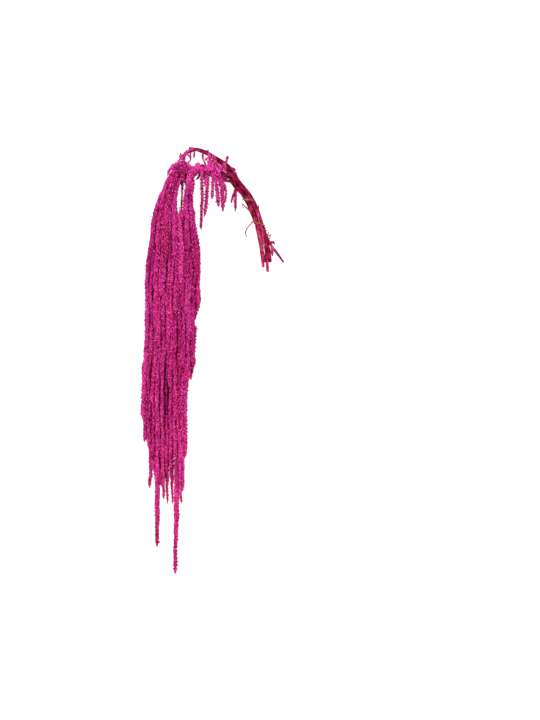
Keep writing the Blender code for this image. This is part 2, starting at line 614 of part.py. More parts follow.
def build():
    for obj in list(bpy.data.objects):
        bpy.data.objects.remove(obj)
    bunch = bpy.data.collections.new("amaranth_bunch")
    bpy.context.scene.collection.children.link(bunch)
    materials = {name: make_material(name, *look) for name, look in COLOURS.items()}
    heap = Heap()
    draw = np.random.default_rng(SEED)
    for name in CORES:
        pieces = [knobbly_rope(name + "_rope", bunch, *line, draw) for line in heap.lines(name)]
        for drop in DROPS:
            if drop[0] == name:
                pieces.append(knobbly_rope(name + "_drop", bunch, *drop_line(*drop), draw))
        fuse(name, pieces, bunch, materials["head"])
    for name in STALKS:
        points, radii = stalk_line(name)
        pieces = [tube(name + "_stem", bunch, points, radii)]
        pieces += [twig(name + "_twig", bunch, points, *t[1:]) for t in TWIGS if t[0] == name]
        fuse(name, pieces, bunch, materials["stalk"])
    for name in TIES:
        tie(name, bunch, materials["tie"])


if __name__ == "__main__":
    build()
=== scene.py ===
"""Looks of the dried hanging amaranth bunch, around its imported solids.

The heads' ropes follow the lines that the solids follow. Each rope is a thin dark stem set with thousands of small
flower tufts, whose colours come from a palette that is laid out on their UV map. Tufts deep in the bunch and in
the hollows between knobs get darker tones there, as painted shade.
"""

import bmesh
import bpy
import numpy as np
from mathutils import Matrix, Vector
from mathutils.bvhtree import BVHTree


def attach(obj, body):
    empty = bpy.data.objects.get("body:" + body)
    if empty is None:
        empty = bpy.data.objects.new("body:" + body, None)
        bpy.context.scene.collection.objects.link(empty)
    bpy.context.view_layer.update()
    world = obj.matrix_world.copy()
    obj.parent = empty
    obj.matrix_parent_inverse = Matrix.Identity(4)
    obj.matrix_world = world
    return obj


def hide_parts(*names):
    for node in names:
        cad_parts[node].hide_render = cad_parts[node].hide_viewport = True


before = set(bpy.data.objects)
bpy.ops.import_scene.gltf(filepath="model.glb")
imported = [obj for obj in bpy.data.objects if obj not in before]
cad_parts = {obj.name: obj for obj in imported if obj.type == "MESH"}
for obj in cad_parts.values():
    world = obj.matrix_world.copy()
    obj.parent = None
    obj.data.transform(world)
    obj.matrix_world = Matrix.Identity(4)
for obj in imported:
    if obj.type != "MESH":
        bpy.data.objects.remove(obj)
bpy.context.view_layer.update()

# Driving dimensions, in metres
MM = 0.001
LENGTH = 0.643                    # from the top of the arch to the lowest tip
ROPE_RADIUS = 3.9 * MM            # a flower rope is close to 8 mm thick
ROPE_PITCH = 8.2 * MM             # between neighbouring ropes on top of the heap
UNDER_PITCH = 12.5 * MM           # and underneath it
STATION = 10.5 * MM               # between the rings of a rope in the heap
DROP_STATION = 13 * MM            # and of a rope that hangs from the arch
ROPE_LENGTH = 0.175               # the usual length of one rope
GAP = 0.35 * MM                   # kept between the heads, and between stalks
STALK_RADIUS = 2.25 * MM          # in the bundle
BUNDLE_PITCH = 4.85 * MM          # between neighbouring stalks of the bundle
SEAT_LENGTH = 7 * MM              # of a stalk's last straight stretch, in line with its head's core
TIE_THICKNESS = 0.9 * MM
TIE_WIDTH = 1.3 * MM
TIE_SLANT = np.radians(38)        # between a tie and the straight way across the bundle
ROW_HEIGHT = 0.8660254            # of a bundle's second layer, for a pitch of one
SEED = 11

# How the solids' ropes are laid out, which the looks follow
START_OFF, STOP_OFF, CUT_OFF = 6, 8, 25    # in mm: how far from their even places the ropes' ends lie
ROOT_OVERLAP = (14, 26)           # in mm: how far a rope's root lies above the tip of the one before
HEAP_VARIES = (0.88, 1.0)         # of the ropes' radii
TOP_TIPS = 30 * MM                # how much earlier than underneath the heap's ropes may end on top
LEAST_LEVELS = 7                  # shorter ropes aren't made
HEAD_BELOW = 25 * MM              # a rope belongs to the head that is nearest so far below its root
ROOT_LEAST, LENGTH_LEAST = 12 * MM, 45 * MM    # below a core's start, and of a rope
CORE_START, CORE_END = 20 * MM, 45 * MM    # so much of a core's ends bears no ropes
LOOSE_RISE, LOOSE_FALL, LOOSE_GIRTH = 9 * MM, 6 * MM, 0.85     # heights and girth of the loose ropes
OUT_RUN = 32 * MM                 # how soon a rope is out of its core
ROOT_START, GROW_RUN = 0.35, 26 * MM       # a root's share of the girth, and how soon a rope is thick
POINT_RUN, POINT_LEAST = 32 * MM, 0.3      # how long a rope tapers, and the least share of its girth
YOUNG_RUN = 24 * MM               # so much of a rope may lie in its own core
ROUNDS = 220                      # of pushing the ropes apart
CORE_YIELD = 0.2                  # how easily a core is pushed, next to a rope
CORE_FLOOR, ROPE_FLOOR = 0.9, 0.52         # the least height of their middles, as a share of their radius
PUSH, STRAIGHTEN, RETURN, WEIGHT = 0.6, 0.2, 0.02, 0.05 * MM   # what each round does to a rope
FALL_ROW, FALL_ROWS, FALL_HEIGHT = 183, 24, 4 * MM     # where ropes from the arch come down, and how low
DROP_PROFILE = (0, 0.15, 0.7, 1), (0.6, 1, 0.85, 0)    # their girth along them
TAPER_AT = (0, 0.07, 0.17, 0.27)  # metres from a stalk's cut end, where its thickness is given
LONG_TAPER, SHORT_TAPER = (1.0, 0.96, 0.92), (1.0, 1.0, 1.0)   # as shares, for long ways to the head and short

# The photograph: rows of the arch's top and of the lowest tip, and the middle of the bunch
TOP_ROW, TIP_ROW = 147.0, 575.5
MIDDLE_COLUMN, MIDDLE_ROW = 212.0, 361.5
PIXEL = LENGTH / (TIP_ROW - TOP_ROW)

# The heap of ropes: row, left and right column, height in mm
HEAP = [
    (160, 176, 184, 20), (165, 172.8, 189, 23), (172, 168.4, 193, 27), (182, 162.6, 194, 31),
    (192, 158.2, 193.4, 34), (205, 155.2, 192.6, 38), (222, 151.5, 195.4, 42), (245, 149, 199, 44),
    (270, 145.8, 200.8, 45), (285, 145, 199.6, 45), (305, 144.6, 197, 45), (325, 145.2, 195, 44),
    (355, 143.8, 194.6, 42), (372, 141.6, 191.5, 39), (388, 140.6, 187.6, 37), (415, 141.6, 187.2, 33),
    (432, 143.4, 186.8, 29), (446, 146.8, 186.4, 25), (458, 152, 185.4, 21), (480, 154, 183.6, 16),
    (500, 154.4, 182.4, 11), (508, 154.4, 181.6, 9), (580, 154.4, 181, 9),
]
# Where the ropes of the heap end, as column and row
LOWEST = [
    (141, 420), (145, 440), (149, 452), (155, 468), (160, 490), (164, 499), (168, 504), (173, 505),
    (180, 503), (184, 480), (187, 455), (190, 386), (193, 374), (196, 330), (200, 305),
]
# Where the heap is widest. Its places are counted here, and from here on the front ropes hang straight down
STRAIGHT_ROW = 290
# The opening under the arch that ropes keep clear of: first and last row, left and right column
OPENING = (186, 210, 177.5, 183.8)
START_UNDER, START_BESIDE = 24, 3 # in rows: ropes under it start so far above its last row, and ropes to the
                                  # right of it so far below its first one

# Each head's core: column, row, height and radius in mm. Below the heap it is the head's own long rope
CORES = {
    "head_1": [
        (189.4, 151.8, 21, 2.8), (185.6, 153.6, 21.5, 3.0), (182.2, 157, 22, 3.2), (179, 164, 22.8, 4.0),
        (175.5, 170, 25, 6.4), (169.5, 184, 27, 8),
        (164.5, 205, 29, 8.4), (161.5, 235, 30, 8.4), (160, 270, 31, 8), (158, 310, 31, 8),
        (157, 350, 28, 7.5), (156, 390, 24, 7), (156, 430, 17, 6), (156, 470, 9, 4.6),
        (156, 505, 4, 3.9), (155.4, 549, 3, 3.2)],
    "head_2": [
        (191, 150.5, 9.5, 2.8), (187.6, 151.8, 9.4, 3.0), (185.8, 155.2, 9.2, 3.1), (184.8, 159.5, 9, 3.3),
        (183.4, 164, 9.3, 3.7), (182, 167, 9.8, 4), (179, 172, 11, 5), (174, 187, 12, 6.5),
        (170, 207, 13, 7.5), (167, 235, 14, 8), (164, 270, 15, 8), (163, 310, 15, 8),
        (164, 350, 15, 7.5), (165, 390, 13, 7), (165.5, 430, 10, 6), (166, 470, 6, 4.6),
        (166.5, 505, 3, 3.3)],
    "head_3": [
        (221, 172.5, 27, 3.5), (214, 169.6, 27.5, 4.4), (205.5, 168.4, 28, 4.4), (197.5, 168.8, 28, 4.4),
        (192.6, 171.5, 28, 5), (190, 178, 28, 5), (188, 192, 28, 5.5), (186.4, 215, 29, 6.5),
        (183.5, 250, 31, 8),
        (181, 290, 31, 8), (180, 340, 29, 8), (179, 390, 24, 7), (178, 430, 18, 6), (177, 470, 11, 4.8),
        (176, 500, 5, 4.1), (175.5, 530, 3.5, 3.7), (174.5, 575.5, 3, 3)],
    "head_4": [
        (221.5, 175, 16, 3.5), (214, 172, 16.5, 4.4), (206, 169.6, 17, 4.4), (198, 169.6, 17, 4.4),
        (192.6, 173.4, 17, 4.6), (189.8, 182, 17, 4.8), (188.5, 196, 17, 5.5), (189, 222, 18, 7),
        (190, 260, 19, 8),
        (190, 300, 19, 8), (189, 330, 17, 7), (187.5, 355, 14, 6), (186.5, 385, 10, 4.6),
        (186, 425, 6, 4), (186, 456, 4, 3.2)],
    "head_5": [
        (220.5, 178, 6, 3.5), (213, 174.6, 6, 4.4), (205, 171.2, 6, 4.4), (197.6, 170.6, 6, 4.4),
        (192, 174.6, 6, 4.4), (189, 186.5, 6, 4.5), (187, 200, 7, 5.5), (182, 224, 10, 6.5),
        (178, 255, 12, 8),
        (176, 300, 13, 8), (175, 350, 13, 7.5), (174, 400, 12, 6.5), (173, 440, 8, 5.5),
        (172, 475, 5, 4.3), (171.3, 506, 3, 3.2)],
}
# The row where each head's core enters the heap
ENTRY = {"head_1": 166, "head_2": 167, "head_3": 177, "head_4": 181, "head_5": 186}

# Ropes that stand out of the heap's edges: head, column and row of the root, column and row of the tip, and
# the length at the tip that leaves the heap, in mm
LOOSE = [
    ("head_1", 157, 395, 148.8, 490, 62), ("head_1", 156, 330, 146, 442, 26),
    ("head_1", 157, 300, 143.5, 419, 22), ("head_1", 157, 270, 142.5, 382, 26),
    ("head_4", 191, 226, 198.2, 305, 46), ("head_4", 190, 262, 194.5, 367, 22),
]
# Ropes that hang from the flowering arch, for each head: column and row of the root, the middle and the tip,
# and the radius in mm
DROPS = {
    "head_4": [
        (202, 169.6, 201.7, 197, 200.8, 229.5, 2.8), (205.8, 169.4, 207.1, 192, 203.4, 216.5, 3.1),
        (204.6, 169.6, 205.4, 178, 204.6, 187, 2.7), (215, 174, 225.2, 186, 223.8, 203, 2.2),
        (215.4, 173, 219.4, 179, 225, 181, 3.4),
    ],
    "head_3": [
        (200.8, 169, 197.6, 163.6, 195.4, 171, 2.5), (213, 169, 210.4, 161, 208.8, 152.6, 3.2),
        (213.5, 169.2, 214.6, 162, 212, 155, 4.5), (217.5, 170.8, 222.8, 168.4, 224.4, 162.8, 4.0),
        (217, 170.4, 223, 168.6, 226.4, 166.6, 3.0), (212, 168.8, 212.7, 184, 212, 199, 2.9),
        (215, 169.8, 216.8, 188, 218.2, 206.5, 3.5), (218, 171, 221.6, 190, 223, 211.5, 3.6),
    ],
    "head_5": [
        (200.5, 171.5, 198.6, 175.6, 195.6, 179.2, 2.2),
    ],
    "head_1": [
        (182.2, 157, 181, 155.4, 180.4, 152.8, 2.4), (186.2, 153.6, 190, 157, 190.3, 161, 1.7),
        (180, 162, 184.8, 162.8, 189.6, 166.8, 3.5), (179, 164.2, 184.2, 167, 187, 174, 3.6),
        (177, 167.5, 181.4, 171, 183, 182.5, 3.6), (178.4, 165.4, 174, 165, 170.6, 169.6, 3.2),
        (176.5, 168.4, 171.4, 168.6, 168, 176.5, 3.2),
    ],
    "head_2": [
        (183.2, 164.6, 187, 167, 188, 176, 3.4), (182, 167, 185.4, 173, 185, 184.5, 3.6),
        (181, 169, 182.2, 176, 181.6, 186, 3.4), (184, 177, 181.6, 192, 181.4, 207, 1.8),
    ],
}

# The bundle's middle line, from the lower tie to the foot of the arch, as column and row
BUNDLE = [(259.8, 226.8), (253.8, 208.8), (246.6, 195), (237.6, 184)]
# Each stalk: its place across the bundle, its layer in it, its thickness at the cut end as a share of the
# usual, its way from the cut end to the bundle and its way from there to its head. A way lists column, row and
# height in mm
STALKS = {
    "stalk_1": (0.5, 1, 1.05, [(270.2, 262, 7), (267.8, 246, 7.6)],
                [(232.4, 174.4, 11.5), (226, 167.4, 14.5), (214, 158.8, 17), (203.4, 152.2, 19)]),
    "stalk_2": (1.0, 0, 0.7, [(283.8, 262, 3), (275, 250, 3), (268, 239.5, 3)],
                [(234.2, 172.5, 4), (227, 164.4, 7), (214.8, 156.6, 9), (203, 150.2, 10)]),
    "stalk_3": (-0.5, 1, 0.95, [(264.8, 262, 7.8), (261.8, 247, 7.8)],
                [(230.5, 174.6, 18)]),
    "stalk_4": (0.0, 0, 1.05, [(267.8, 271.5, 3), (265.6, 248, 3)],
                [(230.6, 177.4, 7.5)]),
    "stalk_5": (-1.0, 0, 0.95, [(263.2, 267, 3), (260.6, 246, 3)],
                [(230.5, 180.8, 4.5)]),
}
# Stubs, twigs and tufts on each stalk: column and row beside it, column and row of the end, radius in mm
TWIGS = {
    "stalk_5": [
        (254.2, 219, 246.6, 236.5, 0.9), (250, 213, 242.6, 203.4, 1.0), (235.2, 187, 235.2, 210.5, 1.7),
        (235, 188, 230.8, 202.5, 1.5),
    ],
    "stalk_2": [
        (257.5, 212, 258.8, 203.5, 0.9), (266, 236, 271.5, 234, 0.9), (268.5, 240.5, 275, 243.5, 1.2),
        (272, 245.5, 272.6, 255.5, 1.6), (205.5, 151.4, 208.8, 149.8, 1.2), (194.2, 149.2, 191.4, 147.6, 1.5),
        (229.6, 167, 235.6, 169.6, 1.9), (233, 171, 236.4, 174.4, 1.9), (262.8, 229.5, 265.8, 227, 0.9),
    ],
    "stalk_1": [
        (225.5, 166.5, 227.8, 155.6, 1.5), (202.5, 151.8, 202.8, 160.5, 1.2), (195, 150.6, 193.8, 158.4, 1.2),
    ],
}
# Where the two ties go round the bundle: the points of its middle line before and after, and how far between
TIES = {"tie_1": (0, 1, 0.22), "tie_2": (1, 2, 0.69)}


def place(column, row):
    """Plan position in metres of a place in the photograph."""
    return (column - MIDDLE_COLUMN) * PIXEL, (MIDDLE_ROW - row) * PIXEL


def columns(values):
    """How far to the right columns of the photograph are."""
    return (np.asarray(values, float) - MIDDLE_COLUMN) * PIXEL


def rows(values):
    """How far up rows of the photograph are."""
    return (MIDDLE_ROW - np.asarray(values, float)) * PIXEL


def along(y, path_y, values):
    """A value that a path or a table gives at each height y, where path_y falls from top to bottom."""
    return np.interp(-np.asarray(y), -np.asarray(path_y), values)


def heap_at(y):
    """Left and right edge and height of the heap."""
    table = np.array(HEAP, float)
    edge = rows(table[:, 0])
    return (along(y, edge, columns(table[:, 1])), along(y, edge, columns(table[:, 2])),
            along(y, edge, table[:, 3] * MM))


def lowest_at(x):
    """Where the ropes of the heap end, at places across it."""
    columns_and_rows = np.array(LOWEST, float).T
    return np.interp(x, columns(columns_and_rows[0]), rows(columns_and_rows[1]))


def heap_places(left, right, height):
    """Places side by side round a heap's section, closer on top than underneath, as x and z."""
    half, high = (right - left) / 2 - ROPE_RADIUS, height - 2 * ROPE_RADIUS
    turn = np.linspace(0, np.pi, 200)
    x = np.sign(np.cos(turn)) * np.abs(np.cos(turn)) ** 0.85 * half
    z = np.abs(np.sin(turn)) ** 0.85 * high
    run = np.concatenate([[0], np.cumsum(np.hypot(np.diff(x), np.diff(z)))])
    top = np.arange(0, run[-1], ROPE_PITCH)
    under = np.arange(-half + UNDER_PITCH, half - UNDER_PITCH / 2, UNDER_PITCH)
    middle = (left + right) / 2
    return (np.concatenate([middle + np.interp(top, run, x), middle + under]),
            np.concatenate([ROPE_RADIUS + np.interp(top, run, z), np.full(len(under), 0.55 * ROPE_RADIUS)]))


def smooth(t):
    """From 0 to 1 with a soft start and end."""
    t = np.clip(t, 0, 1)
    return t * t * (3 - 2 * t)


class Heap:
    """All ropes of the heap and the heads' cores, as circles at every station down the bunch."""

    def __init__(self):
        top, bottom = rows(HEAP[0][0]), rows(TIP_ROW)
        self.levels = top - STATION * np.arange(int((top - bottom) / STATION) + 2)
        self.names = list(CORES)
        self.cores = []
        for name in self.names:
            table = np.array([p for p in CORES[name] if p[1] >= ENTRY[name] - 1], float)
            self.cores.append((columns(table[:, 0]), rows(table[:, 1]), table[:, 2] * MM, table[:, 3] * MM))
        self.ropes = []
        self.plan()
        self.add_loose()
        self.settle()
        self.clear()

    def plan(self):
        """Follows each place of the heap's widest section up and down, with ropes end to end."""
        draw = np.random.default_rng(SEED)
        left, right, height = heap_at(rows(STRAIGHT_ROW))
        x0, z0 = heap_places(left, right, height)
        middle, half = (left + right) / 2, (right - left) / 2 - ROPE_RADIUS
        across = (x0 - middle) / half
        up = (z0 - ROPE_RADIUS) / (height - 2 * ROPE_RADIUS)
        order = draw.permutation(len(x0))
        left, right, height = heap_at(self.levels)
        room = np.array([len(heap_places(*s)[0]) for s in zip(left, right, height)])
        first, last, open_left, open_right = OPENING
        for rank, k in enumerate(order):
            x = (left + right) / 2 + across[k] * ((right - left) / 2 - ROPE_RADIUS)
            z = ROPE_RADIUS + up[k] * (height - 2 * ROPE_RADIUS)
            end = lowest_at(x) + TOP_TIPS * max(up[k], 0) * draw.uniform(0, 1)
            fits = (room > rank) & (self.levels > end)
            in_opening = (self.levels < rows(first)) & (self.levels > rows(last))
            in_opening &= x > columns(open_left) - ROPE_RADIUS
            in_opening &= x < columns(open_right) + ROPE_RADIUS
            if in_opening.any():
                fits &= self.levels < rows(last - START_UNDER)
            elif x[np.flatnonzero(self.levels < rows(first))[0]] > columns(open_right):
                fits &= self.levels < rows(first + START_BESIDE)
            lives = np.flatnonzero(fits)
            if len(lives) < LEAST_LEVELS:
                continue
            start = self.levels[lives[0]] + draw.uniform(-START_OFF, START_OFF) * MM
            stop = self.levels[lives[-1]] + draw.uniform(-STOP_OFF, STOP_OFF) * MM
            count = max(1, round((start - stop) / ROPE_LENGTH))
            cuts = start + (stop - start) * np.arange(count + 1) / count
            cuts[1:-1] += draw.uniform(-CUT_OFF, CUT_OFF, count - 1) * MM
            for a, b in zip(cuts[:-1], cuts[1:]):
                root = a + (0 if a == start else draw.uniform(*ROOT_OVERLAP) * MM)
                head = self.nearest(root, x, z)
                self.add(head, root, b, x, z, draw.uniform(*HEAP_VARIES) * ROPE_RADIUS)

    def nearest(self, root, x, z):
        """The number of the head whose core is nearest to a rope a little below its root."""
        y = root - HEAD_BELOW
        here = np.array([along(y, self.levels, x), along(y, self.levels, z)])
        best, found = 9.0, 0
        for k, (cx, cy, cz, _) in enumerate(self.cores):
            if not cy[-1] + CORE_END < y < cy[0] - CORE_START:
                continue
            apart = np.hypot(*(np.array([along(y, cy, cx), along(y, cy, cz)]) - here))
            if apart < best:
                best, found = apart, k
        return found

    def add(self, head, root, tip, x, z, radius, free=0):
        """Plans a rope of a head, if its length is worth it. free is how much of its tip may leave the heap."""
        root = min(root, self.cores[head][1][0] - ROOT_LEAST)
        if root - tip < LENGTH_LEAST:
            return
        self.ropes.append(dict(head=head, root=root, tip=tip, x=x, z=z, radius=radius, free=free))

    def add_loose(self):
        """Plans the ropes that stand out of the heap's edges."""
        for name, column, row, tip_column, tip_row, free in LOOSE:
            root, tip = rows(row), rows(tip_row)
            run = np.clip((root - self.levels) / (root - tip), 0, 1)
            x = columns(column) + (columns(tip_column) - columns(column)) * smooth(run * 1.6)
            z = LOOSE_RISE - LOOSE_FALL * run
            self.add(self.names.index(name), root, tip, x, z, LOOSE_GIRTH * ROPE_RADIUS, free * MM)

    def settle(self):
        """Pushes the circles apart and down, inside the heap's edges, and keeps every rope smooth."""
        cores, levels = len(self.cores), self.levels
        n, m = cores + len(self.ropes), len(levels)
        x, z, r = np.zeros((n, m)), np.zeros((n, m)), np.zeros((n, m))
        on, young = np.zeros((n, m), bool), np.zeros((n, m), bool)
        head = np.array(list(range(cores)) + [rope["head"] for rope in self.ropes])
        loose = np.zeros((n, m), bool)
        for k, (cx, cy, cz, cr) in enumerate(self.cores):
            on[k] = (levels <= cy[0] + 1e-6) & (levels >= cy[-1])
            x[k], z[k], r[k] = along(levels, cy, cx), along(levels, cy, cz), along(levels, cy, cr)
        for i, rope in enumerate(self.ropes, cores):
            k = rope["head"]
            on[i] = (levels <= rope["root"]) & (levels >= rope["tip"])
            out = smooth((rope["root"] - levels) / OUT_RUN)
            x[i] = x[k] + out * (rope["x"] - x[k])
            z[i] = z[k] + out * (rope["z"] - z[k])
            grown = np.clip(ROOT_START + (rope["root"] - levels) / GROW_RUN, 0, 1)
            point = np.clip((levels - rope["tip"]) / POINT_RUN, 0, 1) ** 0.6
            r[i] = rope["radius"] * grown * np.maximum(point, POINT_LEAST)
            young[i] = rope["root"] - levels < YOUNG_RUN
            loose[i] = levels - rope["tip"] < rope["free"]
        left, right, _ = heap_at(levels)
        aim_x, aim_z = x.copy(), z.copy()
        first, last, open_left, open_right = OPENING
        opening = (levels < rows(first)) & (levels > rows(last))
        open_left, open_right = columns(open_left), columns(open_right)
        goes_right = aim_x[head] > (open_left + open_right) / 2
        stiff = np.where(np.arange(n) < cores, CORE_YIELD, 1.0)[:, None, None]
        stiff = np.broadcast_to(stiff, (n, n, m))
        yields = stiff / (stiff + stiff.transpose(1, 0, 2))
        free = np.zeros((n, n, m), bool)
        for i in range(cores, n):
            free[i, head[i]] = free[head[i], i] = young[i]
        meets = on[:, None] & on[None] & ~free & ~np.eye(n, dtype=bool)[:, :, None]
        inner = on & np.roll(on, 1, 1) & np.roll(on, -1, 1)
        floor = np.where(np.arange(n)[:, None] < cores, CORE_FLOOR, ROPE_FLOOR) * r
        first_on = on.argmax(1)
        for _ in range(ROUNDS):
            dx, dz = x[:, None] - x[None], z[:, None] - z[None]
            apart = np.hypot(dx, dz) + 1e-9
            overlap = np.clip(r[:, None] + r[None] + GAP - apart, 0, None)
            push = np.where(meets, overlap, 0) * yields * PUSH / apart
            x += (push * dx).sum(1)
            z += (push * dz).sum(1)
            for now, aim in ((x, aim_x), (z, aim_z)):
                between = (np.roll(now, 1, 1) + np.roll(now, -1, 1)) / 2
                now += (np.where(inner, STRAIGHTEN * (between - now), 0)
                        + np.where(on, RETURN * (aim - now), 0))
            z -= WEIGHT
            np.maximum(z, floor, out=z)
            x[:] = np.where(loose, x, np.clip(x, left + r, right - r))
            beside = np.where(goes_right, np.maximum(x, open_right + r), np.minimum(x, open_left - r))
            x[:] = np.where(opening, beside, x)
            for i in range(cores, n):
                j = first_on[i]
                x[i, j], z[i, j] = x[head[i], j], z[head[i], j]
        self.x, self.z, self.r, self.on, self.head = x, z, r, on, head

    def clear(self):
        """Makes circles of different heads smaller where they still come closer than the gap."""
        other = self.head[:, None] != self.head[None]
        meets = self.on[:, None] & self.on[None] & other[:, :, None]
        apart = np.hypot(self.x[:, None] - self.x[None], self.z[:, None] - self.z[None])
        size = self.r[:, None] + self.r[None]
        fits = np.clip((apart - GAP) / np.maximum(size, MM), 0.1, 1)
        self.r = self.r * np.where(meets, fits, 1).min(1)

    def lines(self, name):
        """Centre line and radii of the core and of every rope of a head."""
        found = []
        for i in np.flatnonzero(self.head == self.names.index(name)):
            j = np.flatnonzero(self.on[i])
            points = [Vector(p) for p in zip(self.x[i, j], self.levels[j], self.z[i, j])]
            radii = list(self.r[i, j])
            tip = self.cores[i][1][-1] if i < len(self.cores) else self.ropes[i - len(self.cores)]["tip"]
            if i < len(self.cores):
                arch = [p for p in CORES[name] if p[1] < ENTRY[name]]
                points = [Vector((*place(*p[:2]), p[2] * MM)) for p in arch] + points
                radii = [p[3] * MM for p in arch] + radii
            if points[-1].y - tip > 2 * MM:
                points.append(points[-1] + (points[-1] - points[-2]).normalized() * (points[-1].y - tip))
                radii.append(0)
            found.append((points, radii))
        return found


def drop_line(name, column, row, middle_column, middle_row, tip_column, tip_row, radius):
    """Centre line and radii of a rope that hangs from the arch, over what lies below it, then down."""
    core = min(CORES[name], key=lambda p: abs(p[0] - column) + abs(p[1] - row))
    bend = Vector((2 * middle_column - (column + tip_column) / 2, 2 * middle_row - (row + tip_row) / 2))
    root, tip = Vector((column, row)), Vector((tip_column, tip_row))
    count = max(3, round((tip - root).length * PIXEL / DROP_STATION))
    points = []
    for t in np.linspace(0, 1, count + 1):
        spot = root.lerp(bend, t).lerp(bend.lerp(tip, t), t)
        fall = smooth((spot.y - FALL_ROW) / FALL_ROWS)
        points.append(Vector((*place(*spot), core[2] * MM + (FALL_HEIGHT - core[2] * MM) * fall)))
    return points, np.interp(np.linspace(0, 1, len(points)), *DROP_PROFILE) * radius * MM


def bundle_place(i, across, layer):
    """A stalk's place at one point of the bundle's middle line."""
    before, after = BUNDLE[max(i - 1, 0)], BUNDLE[min(i + 1, len(BUNDLE) - 1)]
    run = (Vector(place(*after)) - Vector(place(*before))).normalized()
    sideways = Vector((run.y, -run.x)) * across * BUNDLE_PITCH
    z = STALK_RADIUS + GAP + TIE_THICKNESS + layer * BUNDLE_PITCH * ROW_HEIGHT
    x, y = place(*BUNDLE[i])
    return Vector((x + sideways.x, y + sideways.y, z))


def stalk_line(name):
    """Centre line and radii of a stalk."""
    across, layer, cut, ends, way = STALKS[name]
    points = [Vector((*place(c, r), z * MM)) for c, r, z in ends]
    points += [bundle_place(i, across, layer) for i in range(len(BUNDLE))]
    points += [Vector((*place(c, r), z * MM)) for c, r, z in way]
    core = CORES[name.replace("stalk", "head")]
    seat, inward = [Vector((*place(c, r), z * MM)) for c, r, z, _ in core[:2]]
    outward = (seat - inward).normalized()
    points += [seat + outward * SEAT_LENGTH, seat + outward * GAP]
    run = np.cumsum([0] + [(b - a).length for a, b in zip(points[:-1], points[1:])])
    taper = (cut, *(LONG_TAPER if len(way) > 1 else SHORT_TAPER))
    return points, np.interp(run, TAPER_AT, taper) * STALK_RADIUS


def tie_plane(name):
    """A tie's slanted plane: its middle, its ways sideways, up and along the bundle, the stalks in it."""
    before, after, part_way = TIES[name]
    run = bundle_place(after, 0, 0) - bundle_place(before, 0, 0)
    there = []
    for across, layer in ((-1, 0), (1, 0), (0.5, 1), (-0.5, 1)):
        share = part_way - across * BUNDLE_PITCH * np.tan(TIE_SLANT) / run.length
        there.append(bundle_place(before, across, layer).lerp(bundle_place(after, across, layer), share))
    middle = (there[0] + there[1]) / 2
    side = (there[1] - there[0]).normalized()
    up = side.cross(run).normalized()
    centres = [((spot - middle).dot(side), (spot - middle).dot(up)) for spot in there]
    return middle, (side, up, up.cross(side)), centres


def tie_outline(centres, radius, steps):
    """A closed line at a distance round the stalks. The slanted plane cuts them in ellipses."""
    reach = radius / np.cos(TIE_SLANT) + TIE_WIDTH / 2 * np.tan(TIE_SLANT)
    outline = []
    for k, (x, y) in enumerate(centres):
        before_x, before_y = centres[k - 1]
        after_x, after_y = centres[(k + 1) % len(centres)]
        first = np.arctan2(-(x - before_x), y - before_y)
        last = np.arctan2(-(after_x - x), after_y - y)
        for t in np.linspace(0, 1, steps):
            angle = first + ((last - first) % (2 * np.pi)) * t
            outline.append((x + reach * np.cos(angle), y + radius * np.sin(angle)))
    return outline


# Looks of the ropes, in metres
LINE_STEP = 1.5 * MM              # between the points of a rope's smoothed centre line
SWAY = 0.8 * MM                   # how far a rope wanders from its straight course
SWAY_WAVE = 62 * MM
SWAY_START = 20 * MM              # the length at its root over which it starts to
FULL_SHARE = 0.9                  # a rope keeps this share of its greatest girth up to its tip
ROOT_GIRTH, ROOT_LENGTH = 0.6, 12 * MM     # its girth at the root as a share, and how soon it thickens
TIP_LENGTH = 15 * MM              # the longest tip of a rope; it is shorter where the rope is
TIP_SHARE = 2.6                   # thin, by this many times its radius, or
TIP_MOST = 0.3                    # short, by this share of its length
LUMP_WAVE = 6.5 * MM              # from one lump of a rope's girth to the next
# How uneven the girth of a rope is: inside the heap, along its sides, the source's own, laid on the front, the
# last ones on the front, cores, a core's outer ropes, sprigs, and ropes that hang from the arch
INNER_LUMPS, SIDE_LUMPS, SOURCE_LUMPS, FRONT_LUMPS, LAST_LUMPS = 0.06, 0.08, 0.16, 0.12, 0.32
CORE_LUMPS, OUTER_LUMPS, SPRIG_LUMPS, DROP_LUMPS = 0.42, 0.2, 0.2, 0.42
STEM_SHARE = 0.60                 # the stem's radius as a share of the rope's
STEM_SIDES, STEM_STEP = 5, 4 * MM
LEAST_STEM = 0.25 * MM
STAR_SPACING = 2.05 * MM          # between neighbouring flower clusters, which are small stars
STAR_SIZE = 1.5 * MM              # from a cluster's middle to its points
STAR_POINTS = 3
STAR_PROUD = 0.35 * MM            # how far the clusters' tops stand out beyond the rope's radius
THIN = 1.2 * MM                   # thinner ropes than this have as many clusters as one of this radius
FUZZ = 0.45 * MM                  # how much further out than the others some clusters of a thick rope stand
LEAST_FUZZ = 0.06 * MM            # and of a thin one
FUZZ_SHARE = 0.2                  # and in between, as a share of the radius beyond THIN
STAR_FIT, STAR_FIT_MORE = 0.62, 0.3 * MM   # the largest star, as a share of the rope's radius, and so much more
STAR_DEPTH = 0.85                 # how far its middle lies under the rope's surface, as a share of its size
SIZE_VARIES = (0.85, 1.12)
LEAN = (0.0, 0.45)                # how far a star leans towards the rope's tip
LEAN_SPREAD, TURN_SPREAD = 0.22, 0.3       # and how far its axis and its points lie off by chance
